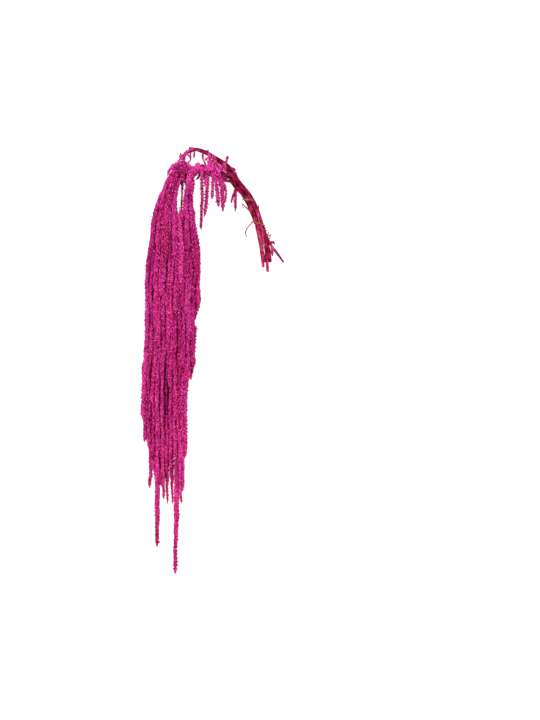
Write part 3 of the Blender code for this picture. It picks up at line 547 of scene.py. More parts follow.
# A star's corners, as shares of its size: how far out and how far up its points and the notches between them
# are, and how far up its top is
POINT_REACH, POINT_LIFT = (0.82, 1.15), (0.15, 0.5)
NOTCH_REACH, NOTCH_LIFT = (0.42, 0.58), (-0.1, 0.1)
TOP_LIFT = (0.7, 1.05)
# The corners' tones: the bottom and the notches darker, painted shade in the star's hollows; the points and the
# top paler, partly the florets' pale tips and partly painted highlight
BOTTOM_PAINTED_SHADE, POINT_PALE_AND_HIGHLIGHT, NOTCH_PAINTED_SHADE, TOP_PALE_AND_HIGHLIGHT = -0.3, 0.05, -0.22, 0.08     # next to the star's own tone
KNOB_STEP = 0.90 * MM             # along the rope, between the groups of clusters that make it knobbly
KNOB_WIDTH = 1.8 * MM
KNOB_RELIEF = 0.30                # how far the hollows between these groups lie under their tops
GOLDEN_ANGLE = np.radians(137.507764)

# Colours of the ropes. A tone goes from 0, dark, to 1, pale, and a hue from 0, crimson, to 1, violet
ROPE_TONE, TONE_SPREAD = 0.5, 0.06
LAID_SPREAD = 0.07                # of the tones of ropes laid on others
# the inner ropes' tone is set darker than the others': painted shade of the heap's depths
INNER_PAINTED_SHADE_TONE, FILLER_TONE, SPRIG_TONE = 0.4, 0.42, 0.34
TONE_WANDER, TONE_WAVE = 0.07, 60 * MM     # of a rope's tone along it
LOW_ROW, LOW_BRIGHTER, LOW_SPAN = 370, 0.05, 60 * PIXEL     # ropes are a little brighter below this row
HIGH_ROW, HIGH_BRIGHTER, HIGH_SPAN = 260, 0.06, 40 * PIXEL  # and above this one, within so many metres
TIP_BRIGHTER = -0.08              # from a rope's root to its tip
TIP_REDDER = 0.48                 # and how far it turns from violet to crimson
SPRIG_REDDER = 0.45               # and how much redder than the heads the stalks' own sprigs are
HUE, HUE_SPREAD = 0.84, 0.16
# Painted shade: what a cluster's tone gains for lying high on its knob and for lying open, what its hue gains for
# lying open (deep clusters are painted darker and redder), and the height and openness at which it gains nothing
KNOB_PAINTED_SHADE, OPENNESS_PAINTED_SHADE, OPENNESS_PAINTED_HUE = (0.5, 0.6), (0.6, 0.28), (0.8, 0.42)
MOST_OPEN = 0.6                   # more open clusters than this gain no more
CLUSTER_SPREAD = (0.17, 0.12)     # of the clusters' tones and hues
PALETTE_EDGE = 0.02               # kept clear round the palette, so that no tuft reads past its border
STEM_TONE = 0.12
STEM_HUES = (0.15, 0.2, 0.1)      # of each triangle's corners
RAY_COUNT, RAY_REACH = 12, 0.25   # rays tried from each tuft, and how far, to tell how open it lies
RAY_LEAN = 1.02                   # how much they lean outwards
TREE_STEP, TREE_SHARE = 5 * MM, 0.84       # the stems that stop them, as thick as this share of their ropes
LEAST_OPEN = 0.1                  # clusters less open than this aren't made

# Ropes that the looks add to the source's
SINK = 0.76                       # how close ropes lie to those they rest on, as a share of both radii
PROUD = 4.0 * MM                  # how far the front ropes' middles may lie above the source's heap
ROOT_SINK, ROOT_SINK_RUN = 1.3, 24 * MM    # how many radii their roots dip under, and over what length
SPRIG_RADIUS = 1.2                # in mm: twigs from this radius on bear flowers
SPRIG_SWAY, SPRIG_SPACING, SPRIG_STAR = 0.3 * MM, 2.0 * MM, 1.4 * MM   # of their flowers
SPRIG_STEM_STEP, SPRIG_STEM_TONE = 1.5 * MM, 0.3
SPRIG_PROFILE = (0.8, 1.5, 1.2)   # girth of a sprig at its foot, bend and end, next to its twig's
LEAF_PROFILE = (0.4, 1.2, 3.2)    # and of the leaf-like one above the bundle
LEAF_ROW = 156                    # where that one ends
STAMP = np.random.default_rng(5)  # every random draw of the looks, in order


def unit(vectors):
    return vectors / np.maximum(np.linalg.norm(vectors, axis=-1, keepdims=True), 1e-12)


def listed(points):
    return np.array([tuple(p) for p in points])


def smoothed(points, radii, step=LINE_STEP):
    """A line through the points without corners, at even steps, with its radii."""
    points, radii = listed(points), np.array(radii, float)
    run = np.concatenate([[0], np.cumsum(np.linalg.norm(np.diff(points, axis=0), axis=1))])
    slopes = np.gradient(points, run, axis=0)
    at = np.linspace(0, run[-1], max(4, int(run[-1] / step) + 1))
    k = np.clip(np.searchsorted(run, at, side="right") - 1, 0, len(run) - 2)
    span = (run[k + 1] - run[k])[:, None]
    t = (at - run[k])[:, None] / span
    line = ((2 * t ** 3 - 3 * t ** 2 + 1) * points[k] + (t ** 3 - 2 * t ** 2 + t) * span * slopes[k]
            + (3 * t ** 2 - 2 * t ** 3) * points[k + 1] + (t ** 3 - t ** 2) * span * slopes[k + 1])
    return line, np.interp(at, run, radii), at


def wander(at, size, wave, count):
    """Slow smooth noise along a line, one column for each of count directions."""
    total = np.zeros((len(at), count))
    for octave in (1.0, 0.47, 0.23):
        phase = STAMP.uniform(0, 2 * np.pi, count)
        total += octave * np.sin(2 * np.pi * at[:, None] / (wave * octave) + phase)
    return total * size / 1.7


def waver(at, size, wave):
    """The same noise as one value for each point of the line."""
    return wander(at, size, wave, 1)[:, 0]


def any_tone(middle=ROPE_TONE, spread=TONE_SPREAD):
    return middle + STAMP.normal(0, spread)


def axes_of(line):
    """The direction of a line at each point, and two directions across it, the second one close to up."""
    run = unit(np.gradient(line, axis=0))
    side = unit(np.cross(run, (0, 0, 1)))
    return run, side, np.cross(side, run)


def angles(sides):
    return 2 * np.pi * np.arange(sides) / sides


def round_about(angle, side, up):
    """The directions at these angles, between side at none and up at a quarter turn."""
    return np.cos(angle)[..., None] * side + np.sin(angle)[..., None] * up


def tube(line, side, up, radius, sides):
    """Corners and triangles of a closed tube. radius has a row for each ring, and a column for each side or one
    for all."""
    rings = line[:, None] + round_about(angles(sides)[None], side[:, None], up[:, None]) * radius[..., None]
    count = len(line)
    k = np.arange(sides)
    after = (k + 1) % sides
    faces = []
    for a in sides * np.arange(count - 1):
        b = a + sides
        faces += [np.stack([b + after, a + after, a + k], 1), np.stack([b + k, b + after, a + k], 1)]
    last, centre = (count - 1) * sides, np.full(sides, count * sides)
    faces += [np.stack([centre, k, after], 1), np.stack([centre + 1, last + after, last + k], 1)]
    return np.concatenate([rings.reshape(-1, 3), line[:1], line[-1:]]), np.concatenate(faces)


def new_object(name, data):
    obj = bpy.data.objects.new(name, data)
    bpy.context.scene.collection.objects.link(obj)
    return obj


class Rope:
    """A rope's smoothed line, with what is asked of it at any distance from its root."""

    def __init__(self, points, radii, tone, sway=SWAY, full=FULL_SHARE, lumps=INNER_LUMPS):
        line, radius, at = smoothed(points, radii)
        most, length = radius.max(), at[-1]
        drift = wander(at, sway, SWAY_WAVE, 2) * smooth(at / SWAY_START)[:, None]
        _, side, up = axes_of(line)
        self.line = line + side * drift[:, :1] + up * (0.5 * drift[:, 1:])
        tip = np.clip((length - at) / min(TIP_LENGTH, TIP_SHARE * most, TIP_MOST * length), 0.02, 1) ** 0.5
        root = np.clip(ROOT_GIRTH + at / ROOT_LENGTH, 0, 1)
        lumpy = 1 + waver(at, lumps, LUMP_WAVE * np.clip(most / ROPE_RADIUS, 0.5, 1))
        self.radius = np.maximum(radius, full * most * root) * tip * lumpy
        self.at, self.length = at, length
        self.run, self.side, self.up = axes_of(self.line)
        share = at / length * np.clip(length / ROPE_LENGTH, 0, 1)
        low = smooth((rows(LOW_ROW) - self.line[:, 1]) / LOW_SPAN)
        high = smooth((self.line[:, 1] - rows(HIGH_ROW)) / HIGH_SPAN)
        self.tone = (tone + waver(at, TONE_WANDER, TONE_WAVE) + TIP_BRIGHTER * share
                     + LOW_BRIGHTER * low + HIGH_BRIGHTER * high)
        self.hue = STAMP.normal(0, HUE_SPREAD) - TIP_REDDER * share

    def take(self, values, at):
        """Values of the rope's points, at other distances from its root."""
        if values.ndim == 1:
            return np.interp(at, self.at, values)
        return np.stack([np.interp(at, self.at, column) for column in values.T], 1)


class Mesh:
    """Triangles with a UV for each corner, gathered from arrays and made into one Blender mesh."""

    def __init__(self):
        self.corners, self.faces, self.uvs, self.count = [], [], [], 0

    def add(self, corners, faces, uvs):
        self.corners.append(corners.reshape(-1, 3))
        self.faces.append(faces.reshape(-1, 3) + self.count)
        self.uvs.append(uvs.reshape(-1, 2))
        self.count += len(self.corners[-1])

    def triangles(self):
        return sum(len(f) for f in self.faces)

    def build(self, name, material, uv_name="OFBake", smooth_faces=False):
        corners, faces = np.concatenate(self.corners), np.concatenate(self.faces)
        uvs = np.concatenate(self.uvs)
        corners[:, 2] = np.maximum(corners[:, 2], 0.1 * MM)
        mesh = bpy.data.meshes.new(name)
        mesh.vertices.add(len(corners))
        mesh.vertices.foreach_set("co", corners.astype(np.float32).ravel())
        mesh.loops.add(3 * len(faces))
        mesh.loops.foreach_set("vertex_index", faces.astype(np.int32).ravel())
        mesh.polygons.add(len(faces))
        mesh.polygons.foreach_set("loop_start", np.arange(0, 3 * len(faces), 3, dtype=np.int32))
        layer = mesh.uv_layers.new(name=uv_name)
        layer.uv.foreach_set("vector", np.clip(uvs, 0, 1).astype(np.float32).ravel())
        mesh.materials.append(material)
        mesh.update(calc_edges=True)
        if smooth_faces:
            mesh.shade_smooth()
        mesh.validate()
        return new_object(name, mesh)


def palette_place(tone, hue):
    """UV of a tone from dark to pale, and of a hue from crimson to violet."""
    span = 1 - 2 * PALETTE_EDGE
    return np.stack([PALETTE_EDGE + span * np.clip(share, 0, 1) for share in (tone, hue)], -1)


def add_stem(mesh, rope, step=STEM_STEP, share=STEM_SHARE, tone=STEM_TONE):
    """The dark tube under a rope's tufts."""
    at = np.linspace(0, rope.length, max(3, int(rope.length / step)) + 1)
    radius = np.maximum(rope.take(rope.radius, at) * share, LEAST_STEM)
    line, side, up = (rope.take(values, at) for values in (rope.line, rope.side, rope.up))
    corners, faces = tube(line, side, up, radius[:, None], STEM_SIDES)
    shade = palette_place(np.array([tone + 0.02, tone, tone - 0.02]), np.array(STEM_HUES))
    mesh.add(corners, faces, np.broadcast_to(shade, (len(faces), 3, 2)))


def knob_height(at, angle, radius, seed):
    """How far a place on a rope stands out, from 0 between its clusters to 1 on top of one."""
    best = np.full(len(at), 9.0)
    nearest = np.round(at / KNOB_STEP)
    for step in range(-4, 5):
        k = nearest + step
        turn = k * GOLDEN_ANGLE + seed
        jitter = np.sin(k * 12.9898 + seed * 7.1) * 0.4
        across = (angle - turn + np.pi) % (2 * np.pi) - np.pi
        apart = np.hypot((at - (k + jitter) * KNOB_STEP), across * radius)
        best = np.minimum(best, apart)
    return np.exp(-(best / KNOB_WIDTH) ** 2)


def star_places(rope, spacing):
    """Places of the clusters on a rope, wound round it so that they lie evenly apart."""
    dense = 2 * np.pi * np.maximum(rope.radius, THIN) * 0.9 / spacing ** 2
    total = np.concatenate([[0], np.cumsum((dense[1:] + dense[:-1]) / 2 * np.diff(rope.at))])
    count = int(total[-1])
    at = np.interp(np.arange(count) + 0.5, total, rope.at)
    at = at + STAMP.uniform(-0.2, 0.2, count) * spacing
    angle = np.arange(count) * GOLDEN_ANGLE + STAMP.uniform(-0.15, 0.15, count)
    return np.clip(at, 0, rope.length), angle


def add_stars(mesh, rope, tree, spacing=STAR_SPACING, size=STAR_SIZE):
    """Flower clusters: small closed stars that point outwards, darker the deeper they lie and the lower on their
    knobs: painted shade.
    """
    at, angle = star_places(rope, spacing)
    seed = STAMP.uniform(0, 2 * np.pi)
    line, run, side, up, radius = (rope.take(values, at) for values in
                                   (rope.line, rope.run, rope.side, rope.up, rope.radius))
    high = knob_height(at, angle, np.maximum(radius, 1 * MM), seed)
    out = round_about(angle, side, up)
    size = np.minimum(size, STAR_FIT * radius + STAR_FIT_MORE)
    reach = (radius + STAR_PROUD) * (1 - KNOB_RELIEF * (1 - high)) - STAR_DEPTH * size
    fuzz = np.clip(FUZZ_SHARE * (radius - THIN), LEAST_FUZZ, FUZZ)
    reach = reach + np.minimum(STAMP.exponential(1, len(at)), 3) * fuzz
    middle = line + out * reach[:, None]
    share = openness(tree, middle + out * size[:, None], out)
    kept = share > LEAST_OPEN
    at, high, out, run, middle, share, size = (v[kept] for v in (at, high, out, run, middle, share, size))
    n = len(at)
    if not n:
        return
    axis = unit(out + run * STAMP.uniform(*LEAN, n)[:, None] + STAMP.normal(0, LEAN_SPREAD, (n, 3)))
    across = unit(np.cross(axis, unit(run + STAMP.normal(0, TURN_SPREAD, (n, 3)))))
    over = np.cross(axis, across)
    size = size * STAMP.uniform(*SIZE_VARIES, n)
    turn = STAMP.uniform(0, 2 * np.pi, n)
    ring = 2 * STAR_POINTS
    corners = [middle - axis * size[:, None]]
    for k in range(ring):
        reaches, lifts = (NOTCH_REACH, NOTCH_LIFT) if k % 2 else (POINT_REACH, POINT_LIFT)
        far = size * STAMP.uniform(*reaches, n)
        lift = size * STAMP.uniform(*lifts, n)
        way = round_about(turn + 2 * np.pi * k / ring, across, over)
        corners.append(middle + axis * lift[:, None] + far[:, None] * way)
    corners.append(middle + axis * (size * STAMP.uniform(*TOP_LIFT, n))[:, None])
    k = np.arange(ring)
    after = (k + 1) % ring
    shape = np.concatenate([np.stack([np.zeros(ring, int), 1 + after, 1 + k], 1),
                            np.stack([np.full(ring, ring + 1), 1 + k, 1 + after], 1)])
    faces = (np.arange(n) * (ring + 2))[:, None, None] + shape[None]
    # Painted shade: the tone darker low on the knobs and deep in the bunch, and the hue redder there
    tone = rope.take(rope.tone, at) + gain(high, KNOB_PAINTED_SHADE) + STAMP.normal(0, CLUSTER_SPREAD[0], n)
    tone = tone + gain(np.minimum(share, MOST_OPEN), OPENNESS_PAINTED_SHADE)
    hue = HUE + rope.take(rope.hue, at) + gain(np.minimum(share, MOST_OPEN), OPENNESS_PAINTED_HUE)
    hue = hue + STAMP.normal(0, CLUSTER_SPREAD[1], n)
    # painted shade on the bottom and notches, pale tips and painted highlight on the points and top
    shift = np.concatenate([[BOTTOM_PAINTED_SHADE], np.where(k % 2, NOTCH_PAINTED_SHADE, POINT_PALE_AND_HIGHLIGHT), [TOP_PALE_AND_HIGHLIGHT]])
    spots = palette_place(tone[:, None] + shift[None], np.broadcast_to(hue[:, None], (n, ring + 2)))
    mesh.add(np.stack(corners, 1), faces, spots[np.arange(n)[:, None, None], shape[None]])


def gain(values, weight_and_middle):
    weight, middle = weight_and_middle
    return weight * (values - middle)


def set_inputs(tree, node, inputs):
    """Sets a node's inputs: each to a value, or with a link from another node's output."""
    for key, value in inputs.items():
        if isinstance(value, bpy.types.NodeSocket):
            tree.links.new(value, node.inputs[key])
        else:
            node.inputs[key].default_value = value


def add_node(tree, kind, inputs, **settings):
    node = tree.nodes.new("ShaderNode" + kind)
    for key, value in settings.items():
        setattr(node, key, value)
    set_inputs(tree, node, inputs)
    return node.outputs


def add_ramp(tree, factor, stops):
    """Colours from 0 to 255 at the stops, read by factor."""
    ramp = tree.nodes.new("ShaderNodeValToRGB")
    elements = ramp.color_ramp.elements
    while len(elements) < len(stops):
        elements.new(0.5)
    for element, (position, colour) in zip(elements, stops):
        element.position = position
        element.color = (*linear(colour), 1)
    set_inputs(tree, ramp, {"Fac": factor})
    return ramp.outputs["Color"]


def new_material(name, inputs):
    """A material with a plain shader, and its node tree and shader to build on."""
    material = bpy.data.materials.new(name)
    material.use_nodes = True
    tree = material.node_tree
    shader = tree.nodes["Principled BSDF"]
    set_inputs(tree, shader, inputs)
    return material, tree, shader


def palette_material(name, palette, roughness):
    """A colour for each tone and hue. palette lists (tone, the crimson colour, the violet colour)."""
    material, tree, shader = new_material(name, {"Roughness": roughness, "Specular IOR Level": 0.06})
    spot = add_node(tree, "UVMap", {}, uv_map="OFBake")
    split = add_node(tree, "SeparateXYZ", {"Vector": spot["UV"]})
    span = 1 - 2 * PALETTE_EDGE
    crimson, violet = (add_ramp(tree, split["X"], [(PALETTE_EDGE + span * entry[0], entry[end])
                                                   for entry in palette]) for end in (1, 2))
    mix = add_node(tree, "Mix", {"Factor": split["Y"], "A": crimson, "B": violet}, data_type="RGBA")
    set_inputs(tree, shader, {"Base Color": mix["Result"]})
    return material


def linear(colour):
    """A colour given as 0 to 255, as the render reads it."""
    share = np.array(colour, float) / 255
    return tuple(np.where(share <= 0.04045, share / 12.92, ((share + 0.055) / 1.055) ** 2.4))


FLOWER_PALETTE = [
    (0.0, (64, 0, 12), (72, 0, 32)), (0.25, (124, 4, 38), (130, 12, 74)), (0.5, (164, 20, 72), (170, 33, 114)),
    (0.75, (198, 38, 98), (201, 52, 142)), (1.0, (222, 74, 132), (224, 88, 170)),
]
PIECE_LIMIT = 190000              # triangles in one piece
# Short ropes that fill the flowering cluster under the arch, for each head: column, row and height in mm of
# both ends, and the radius in mm
FILLERS = {
    "head_3": [
        (211, 156, 23, 217, 164, 22, 2.6), (214, 160, 24, 218.5, 168.5, 24, 3.2),
        (217.5, 165.5, 23, 222.5, 170.5, 24, 3.0), (222, 166, 20, 226.5, 171, 21, 2.8),
        (219, 170, 25, 225.5, 174.5, 23, 3.2), (211, 164, 25, 213, 171, 25, 3.0),
        (214, 170, 25, 218, 179, 22, 3.0), (208.4, 157, 24, 206, 160.8, 24, 1.5),
        (206, 160.8, 24, 205, 157.4, 24, 1.4), (203.6, 160, 26, 206.4, 166.5, 27, 1.6),
        (208, 161, 25, 209.4, 168, 26, 2.0), (182, 208, 33, 179.6, 224, 34, 3.4),
        (188, 164, 30, 193, 172, 31, 2.6), (190, 168, 31, 196.4, 169, 31, 2.8),
        (201.5, 165.6, 31, 206, 168.4, 31, 2.8), (205.5, 166.4, 31, 208.6, 174, 26, 2.6),
        (200.6, 167, 31, 203, 176, 25, 2.6),
    ],
    "head_4": [
        (218, 173, 18, 227, 178.6, 14, 2.8), (219, 176, 16, 223, 182, 12, 3.2),
        (212.5, 172, 17, 215, 182, 14, 2.8), (201.5, 170, 18, 207.5, 173.6, 17, 3.0),
        (203.6, 172, 17, 204.4, 181, 16, 2.6), (219, 171, 18, 227.6, 176.4, 14, 3.0),
        (221, 176, 14, 227.4, 181, 10, 3.0),
    ],
    "head_1": [
        (176, 209, 33, 177.6, 226, 34, 3.4), (183, 163, 27, 188, 170, 28, 2.8),
        (180, 168, 30, 187.5, 173.5, 28, 2.8), (174, 166, 30, 178, 178, 34, 3.0),
        (176, 168, 27, 171.4, 177, 26, 2.8), (177, 169, 28, 172, 180, 29, 3.2),
        (178.4, 168, 28, 176, 175, 30, 2.6), (176.3, 224, 22, 176.3, 241, 22, 3.6),
        (184.6, 154.4, 22, 189.4, 150.4, 23, 2.7), (188.2, 150.8, 23, 195, 149, 23, 2.0),
        (189, 148.4, 22, 192.6, 147.8, 22, 1.9), (190.4, 153.6, 22, 190.8, 160.4, 22, 1.6),
        (190.8, 160.2, 22, 187, 164, 23, 1.8), (181.4, 154.6, 22, 179.2, 158.6, 23, 2.0),
        (170.4, 246, 14, 170.6, 282, 14, 4.2), (174.6, 166.6, 26, 171.4, 176, 26, 2.2),
        (181.5, 179, 18, 182.1, 208, 18, 1.5),
    ],
    "head_5": [
        (169.7, 270, 22, 169.5, 292, 22, 3.6), (167, 294, 20, 167, 336, 20, 3.6),
        (168.8, 286, 14, 168.6, 318, 14, 4.2), (242.2, 202.9, 9, 242.2, 206.6, 9, 1.0),
        (242.2, 206.2, 9, 245.2, 208.2, 8, 0.8),
    ],
}
# Ropes on the front of the heap: share of the heap's width, first and last row, column of the last tip. Each
# is a chain of ropes, every one's tip over the next one's root
FRONT = [
    (0.05, 200, 419, 143.2), (0.12, 206, 448, 148.4), (0.2, 169, 453, 152.8), (0.275, 190, 484, 157.2),
    (0.35, 170, 500, 163.6), (0.425, 198, 474, 167.0), (0.5, 172, 480, 171.2), (0.575, 206, 488, 175.4),
    (0.65, 214, 504, 180.6), (0.71, 238, 491.5, 181.6), (0.765, 226, 457, 186.5), (0.82, 178, 382.5, 188.2),
    (0.885, 200, 373.5, 192.6), (0.95, 180, 272, 198.0), (0.96, 226, 312, 196.4), (0.85, 300, 380, 190.4),
    (0.925, 326, 368, 193.8), (0.07, 376, 442, 145.6),
]
# Where the source's ropes show thinner: first and last row, first and last column, share of their girth
THINNED = [
    (422, 460, 140, 151, 0.55), (356, 392, 187.8, 200, 0.45), (272, 316, 195.4, 204, 0.6),
    (466, 492, 146, 151.5, 0.7),
]
# The heap's edges in the photograph: row and column
LEFT_EDGE = [(162, 176), (168, 171), (176, 167), (184, 164), (192, 159.5), (200, 157.5), (208, 155), (216, 153),
             (224, 150.5), (232, 150), (248, 148.5), (264, 146.5), (280, 145.3), (336, 144.6), (350, 144.4),
             (360, 143), (368, 141.8), (416, 141.8), (421, 144), (440, 145), (444, 147), (470, 147.8), (487, 147)]
RIGHT_EDGE = [(240, 198), (248, 200.4), (304, 200), (312, 196.6), (320, 194.6), (366, 194.6), (372, 191),
              (380, 187), (404, 187), (452, 187.3), (456, 184.6), (470, 184.3), (487, 183.4)]
EDGE_INSET = 0.5 * MM

# The ropes on the front
FRONT_RADII = (3.8 * MM, 3.4 * MM, 2.7 * MM)   # at the top, in the middle and at the lower end of the heap,
FRONT_ROWS = (200, 330, 460)      # which are these rows
FRONT_VARIES = (0.85, 1.1)
FRONT_LENGTHS = (72 * MM, 150 * MM)
FRONT_OVERLAP = (14, 26)          # in rows, of a rope's tip over the next one's root
# In rows: a chain ends where less than the first is left to its last row, and a rope that would leave less
# than the second goes on to it
SHORTEST_START, SHORTEST_END = 24, 34
SLANT = 1.6                       # in pixels, how far one may lean to either side over its length
OFF_COURSE = 0.9                  # and how far beside its course it may lie
FRONT_SWAY, FRONT_WAVE = 0.9 * MM, 90 * MM
LEFT_DRIFT = 2.6                  # in pixels, how far the leftmost ones drift to the left,
DRIFT_ROWS = (345, 385)           # between these rows
BRIDGE = 4 * MM                   # the steepest drop between two levels
END_ROWS = 60                     # over which the last rope of a chain turns towards its tip's column,
END_TAPER, TAPER_ROWS = 0.45, 30  # and how much thinner it gets over its last rows

# The ropes along the sides
SIDE_ROPES = 24
SIDE_TURN, SIDE_TURN_MORE = 0.07, 0.15     # the lowest one's place round the heap, in half turns, and their spread
GOLDEN_SHARE = 0.6180339887       # spreads them evenly
SIDE_MIDDLE = 0.25                # the height they lie round, as a share of the heap's
SIDE_START, SIDE_ROWS, SIDE_OFF = 172, 250, 8  # first row of the roots, the rows they spread over, and in mm how
SIDE_LENGTHS = (80, 140)          # far a root is off its place and how long the ropes are
SIDE_VARIES = (0.8, 1.0)
SIDE_WAVER, SIDE_WAVE = 0.12, 0.16         # in radians and metres, how they wind
SIDE_EVEN = (0.1, 0.2, 0.4, 0.2, 0.1)      # weights that even out how far out neighbouring levels lie
SIDE_OUT, SIDE_ROOT = 30 * MM, 0.5         # how soon they leave their core, and their girth at the root
BELOW_LOWEST = 4 * MM             # how far their tips may hang below the heap's ends
SIDE_LEVELS, FRONT_LEVELS = 6, 4  # side ropes and front ropes of fewer levels aren't made

# The ropes inside the heap: places across it, first and last row, and height as a share of the heap's
INNER_SHARES = (0.13, 0.22, 0.31, 0.4, 0.49, 0.58, 0.67, 0.76, 0.85)
INNER_ROWS = (216, 452)
INNER_HEIGHT = 0.3

# Changes to the source's ropes and cores
TRIM_ROW, TRIM_COLUMN = 487, 152  # its ropes to the right of this column end at this row
THIN_CORES = ("head_2", "head_5") # cores whose lower ends show as thin ropes, from this row on: how much thinner,
THIN_ROW, THIN_ROWS, THINNER, THIN_SHIFT = 462, 14, 0.45, 0.7   # and how many pixels further right
# Where the second head's core passes under the first one's at the neck: last row, and how many pixels it is drawn
# to the left there
NECK = (164, 1.6)
NECK_COLUMN = 190                 # the neck is left of this column, and there the cores have
NECK_GIRTH = 0.72                 # this share of their girth
NECK_BELOW, NECK_ROWS = 4, 6      # rows from its last row to where this starts, and over which it does
LONG_TIP_ROW, LONG_TIP_ROWS, LONG_TIP_GIRTH = 500, 15, 0.1     # from this row down the long tips are thicker
CORE_RADIUS = 3.3 * MM            # of the rope down the middle of a thick core,
OUTER_RADIUS, OUTER_ROPES = 3.4 * MM, 5    # and of the ropes round it
OUTER_FIRST, OUTER_LAST = 0.8 * MM, 0.4 * MM   # how much thicker the core is where they start and end
OUTER_ROOT, OUTER_TIP = 0.6, (0.9, 0.7, 0.35)  # their girth there, as shares


def make_heads(heap, material):
    made = {}
    for name in CORES:
        core, *others = heap.lines(name)
        made[name] = core_ropes(*slim_neck(name, *core))
        made[name] += [Rope(*trimmed(*line), any_tone(), lumps=SOURCE_LUMPS) for line in others]
        made[name] += [Rope(*drop_line(name, *drop), any_tone(), lumps=DROP_LUMPS) for drop in DROPS.get(name, ())]
        made[name] += [filler(*short) for short in FILLERS.get(name, ())]
    heap.laid = [heap.x, heap.z, heap.r, heap.on]
    for name, points, radii, lumps in side_ropes(heap) + front_ropes(heap):
        made[name].append(Rope(points, radii, any_tone(spread=LAID_SPREAD), lumps=lumps))
    for name, points, radii in inner_ropes(heap):
        made[name].append(Rope(points, radii, INNER_PAINTED_SHADE_TONE))
    tree = stem_tree([rope for ropes in made.values() for rope in ropes])
    for name, ropes in made.items():
        meshes = [Mesh()]
        for rope in ropes:
            if meshes[-1].triangles() > PIECE_LIMIT:
                meshes.append(Mesh())
            add_stem(meshes[-1], rope)
            add_stars(meshes[-1], rope, tree)
        for k, mesh in enumerate(meshes):
            obj = mesh.build(f"{name}_flowers_{k + 1}", material)
            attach(obj, "root")
            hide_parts(name)


def filler(column, row, height, end_column, end_row, end_height, radius):
    """A short rope between two places, a little arched."""
    start = np.array([*place(column, row), height * MM])
    end = np.array([*place(end_column, end_row), end_height * MM])
    middle = (start + end) / 2 + (0, 0, 0.1 * np.linalg.norm(end - start))
    size = np.array([0.8, 1, 0.8]) * radius * MM
    return Rope([start, middle, end], size, any_tone(FILLER_TONE), sway=SWAY / 2, full=0, lumps=DROP_LUMPS)


def inner_ropes(heap):
    """Ropes in the middle of the heap, seen only as the dark ground of its gaps, in a darker tone that is painted
    shade.
    """
    left, right, height = heap_at(heap.levels)
    first, last = (rows(row) for row in INNER_ROWS)
    lives = (heap.levels < first) & (heap.levels > last)
    found = []
    for share in INNER_SHARES:
        x, z = left + share * (right - left), INNER_HEIGHT * height
        head = heap.nearest(first + HEAD_BELOW, x, z)
        found.append((heap.names[head], list(zip(x[lives], heap.levels[lives], z[lives])),
                      np.full(lives.sum(), ROPE_RADIUS)))
    return found


def side_ropes(heap):
    """Ropes along both sides of the heap, each laid on what is already there."""
    levels = heap.levels
    left, right, height = heap_at(levels)
    middle_x, middle_z = (left + right) / 2, SIDE_MIDDLE * height
    found = []
    for k in range(SIDE_ROPES):
        turn = np.pi * (SIDE_TURN + SIDE_TURN_MORE * ((k * GOLDEN_SHARE) % 1))
        turn = turn if k % 2 else np.pi - turn
        root_row = SIDE_START + SIDE_ROWS * (k + 0.5) / SIDE_ROPES
        root = rows(root_row) + STAMP.uniform(-SIDE_OFF, SIDE_OFF) * MM
        tip = root - STAMP.uniform(*SIDE_LENGTHS) * MM
        size = STAMP.uniform(*SIDE_VARIES) * ROPE_RADIUS
        angle = turn + waver(levels[0] - levels, SIDE_WAVER, SIDE_WAVE)
        reach = outmost(*heap.laid, middle_x, middle_z, angle, size)
        reach = np.convolve(np.pad(reach, 2, mode="edge"), SIDE_EVEN, mode="valid")
        new_x, new_z = middle_x + reach * np.cos(angle), middle_z + reach * np.sin(angle)
        new_x = within(np.stack([new_x, levels, new_z], 1), np.full(len(levels), size))[0][:, 0]
        tip = max(tip, lowest_at(new_x[np.argmin(abs(levels - tip))]) - BELOW_LOWEST)
        lives = (levels <= root) & (levels >= tip)
        if lives.sum() < SIDE_LEVELS:
            continue
        head = heap.nearest(root, new_x, new_z)
        cx, cy, cz, _ = heap.cores[head]
        out = smooth((root - levels) / SIDE_OUT)
        new_x = along(levels, cy, cx) * (1 - out) + new_x * out
        new_z = along(levels, cy, cz) * (1 - out) + new_z * out
        radius = size * np.clip(SIDE_ROOT + (root - levels) / GROW_RUN, 0, 1)
        lay(heap, new_x, new_z, radius, lives)
        j = np.flatnonzero(lives)
        found.append((heap.names[head], list(zip(new_x[j], levels[j], new_z[j])), radius[j], SIDE_LUMPS))
    return found


def lay(heap, x, z, radius, lives):
    """Adds a rope to what later ropes rest on."""
    heap.laid = [np.vstack([old, new]) for old, new in zip(heap.laid, (x, z, radius, lives))]


def flow(share, row):
    """Column of a front rope at each row: a share of the heap's width, and further down straight on."""
    table = np.array(HEAP, float)
    level = np.minimum(row, STRAIGHT_ROW)
    left, right = np.interp(level, table[:, 0], table[:, 1]), np.interp(level, table[:, 0], table[:, 2])
    first, last = DRIFT_ROWS
    drift = LEFT_DRIFT * (1 - share) * smooth((np.asarray(row, float) - first) / (last - first))
    return left + share * (right - left) - drift


def rest_on(heap, x, size, root):
    """The height at every level of a rope that lies on what is there. x is its course seen from above."""
    laid_x, laid_z, laid_r, on = heap.laid
    touch = SINK * (laid_r + size)
    apart = laid_x - x
    top = laid_z + np.sqrt(np.maximum(touch ** 2 - apart ** 2, 0))
    z = np.maximum(np.where(on.astype(bool) & (abs(apart) < touch), top, 0).max(0), size)
    z = np.minimum(z, heap_at(heap.levels)[2] + PROUD)
    for _ in range(4):
        z[1:-1] = np.maximum(z[1:-1], np.maximum(z[:-2], z[2:]) - BRIDGE)
    z = np.convolve(np.pad(z, 1, mode="edge"), (0.25, 0.5, 0.25), mode="valid")
    return z - ROOT_SINK * size * (1 - smooth((root - heap.levels) / ROOT_SINK_RUN))


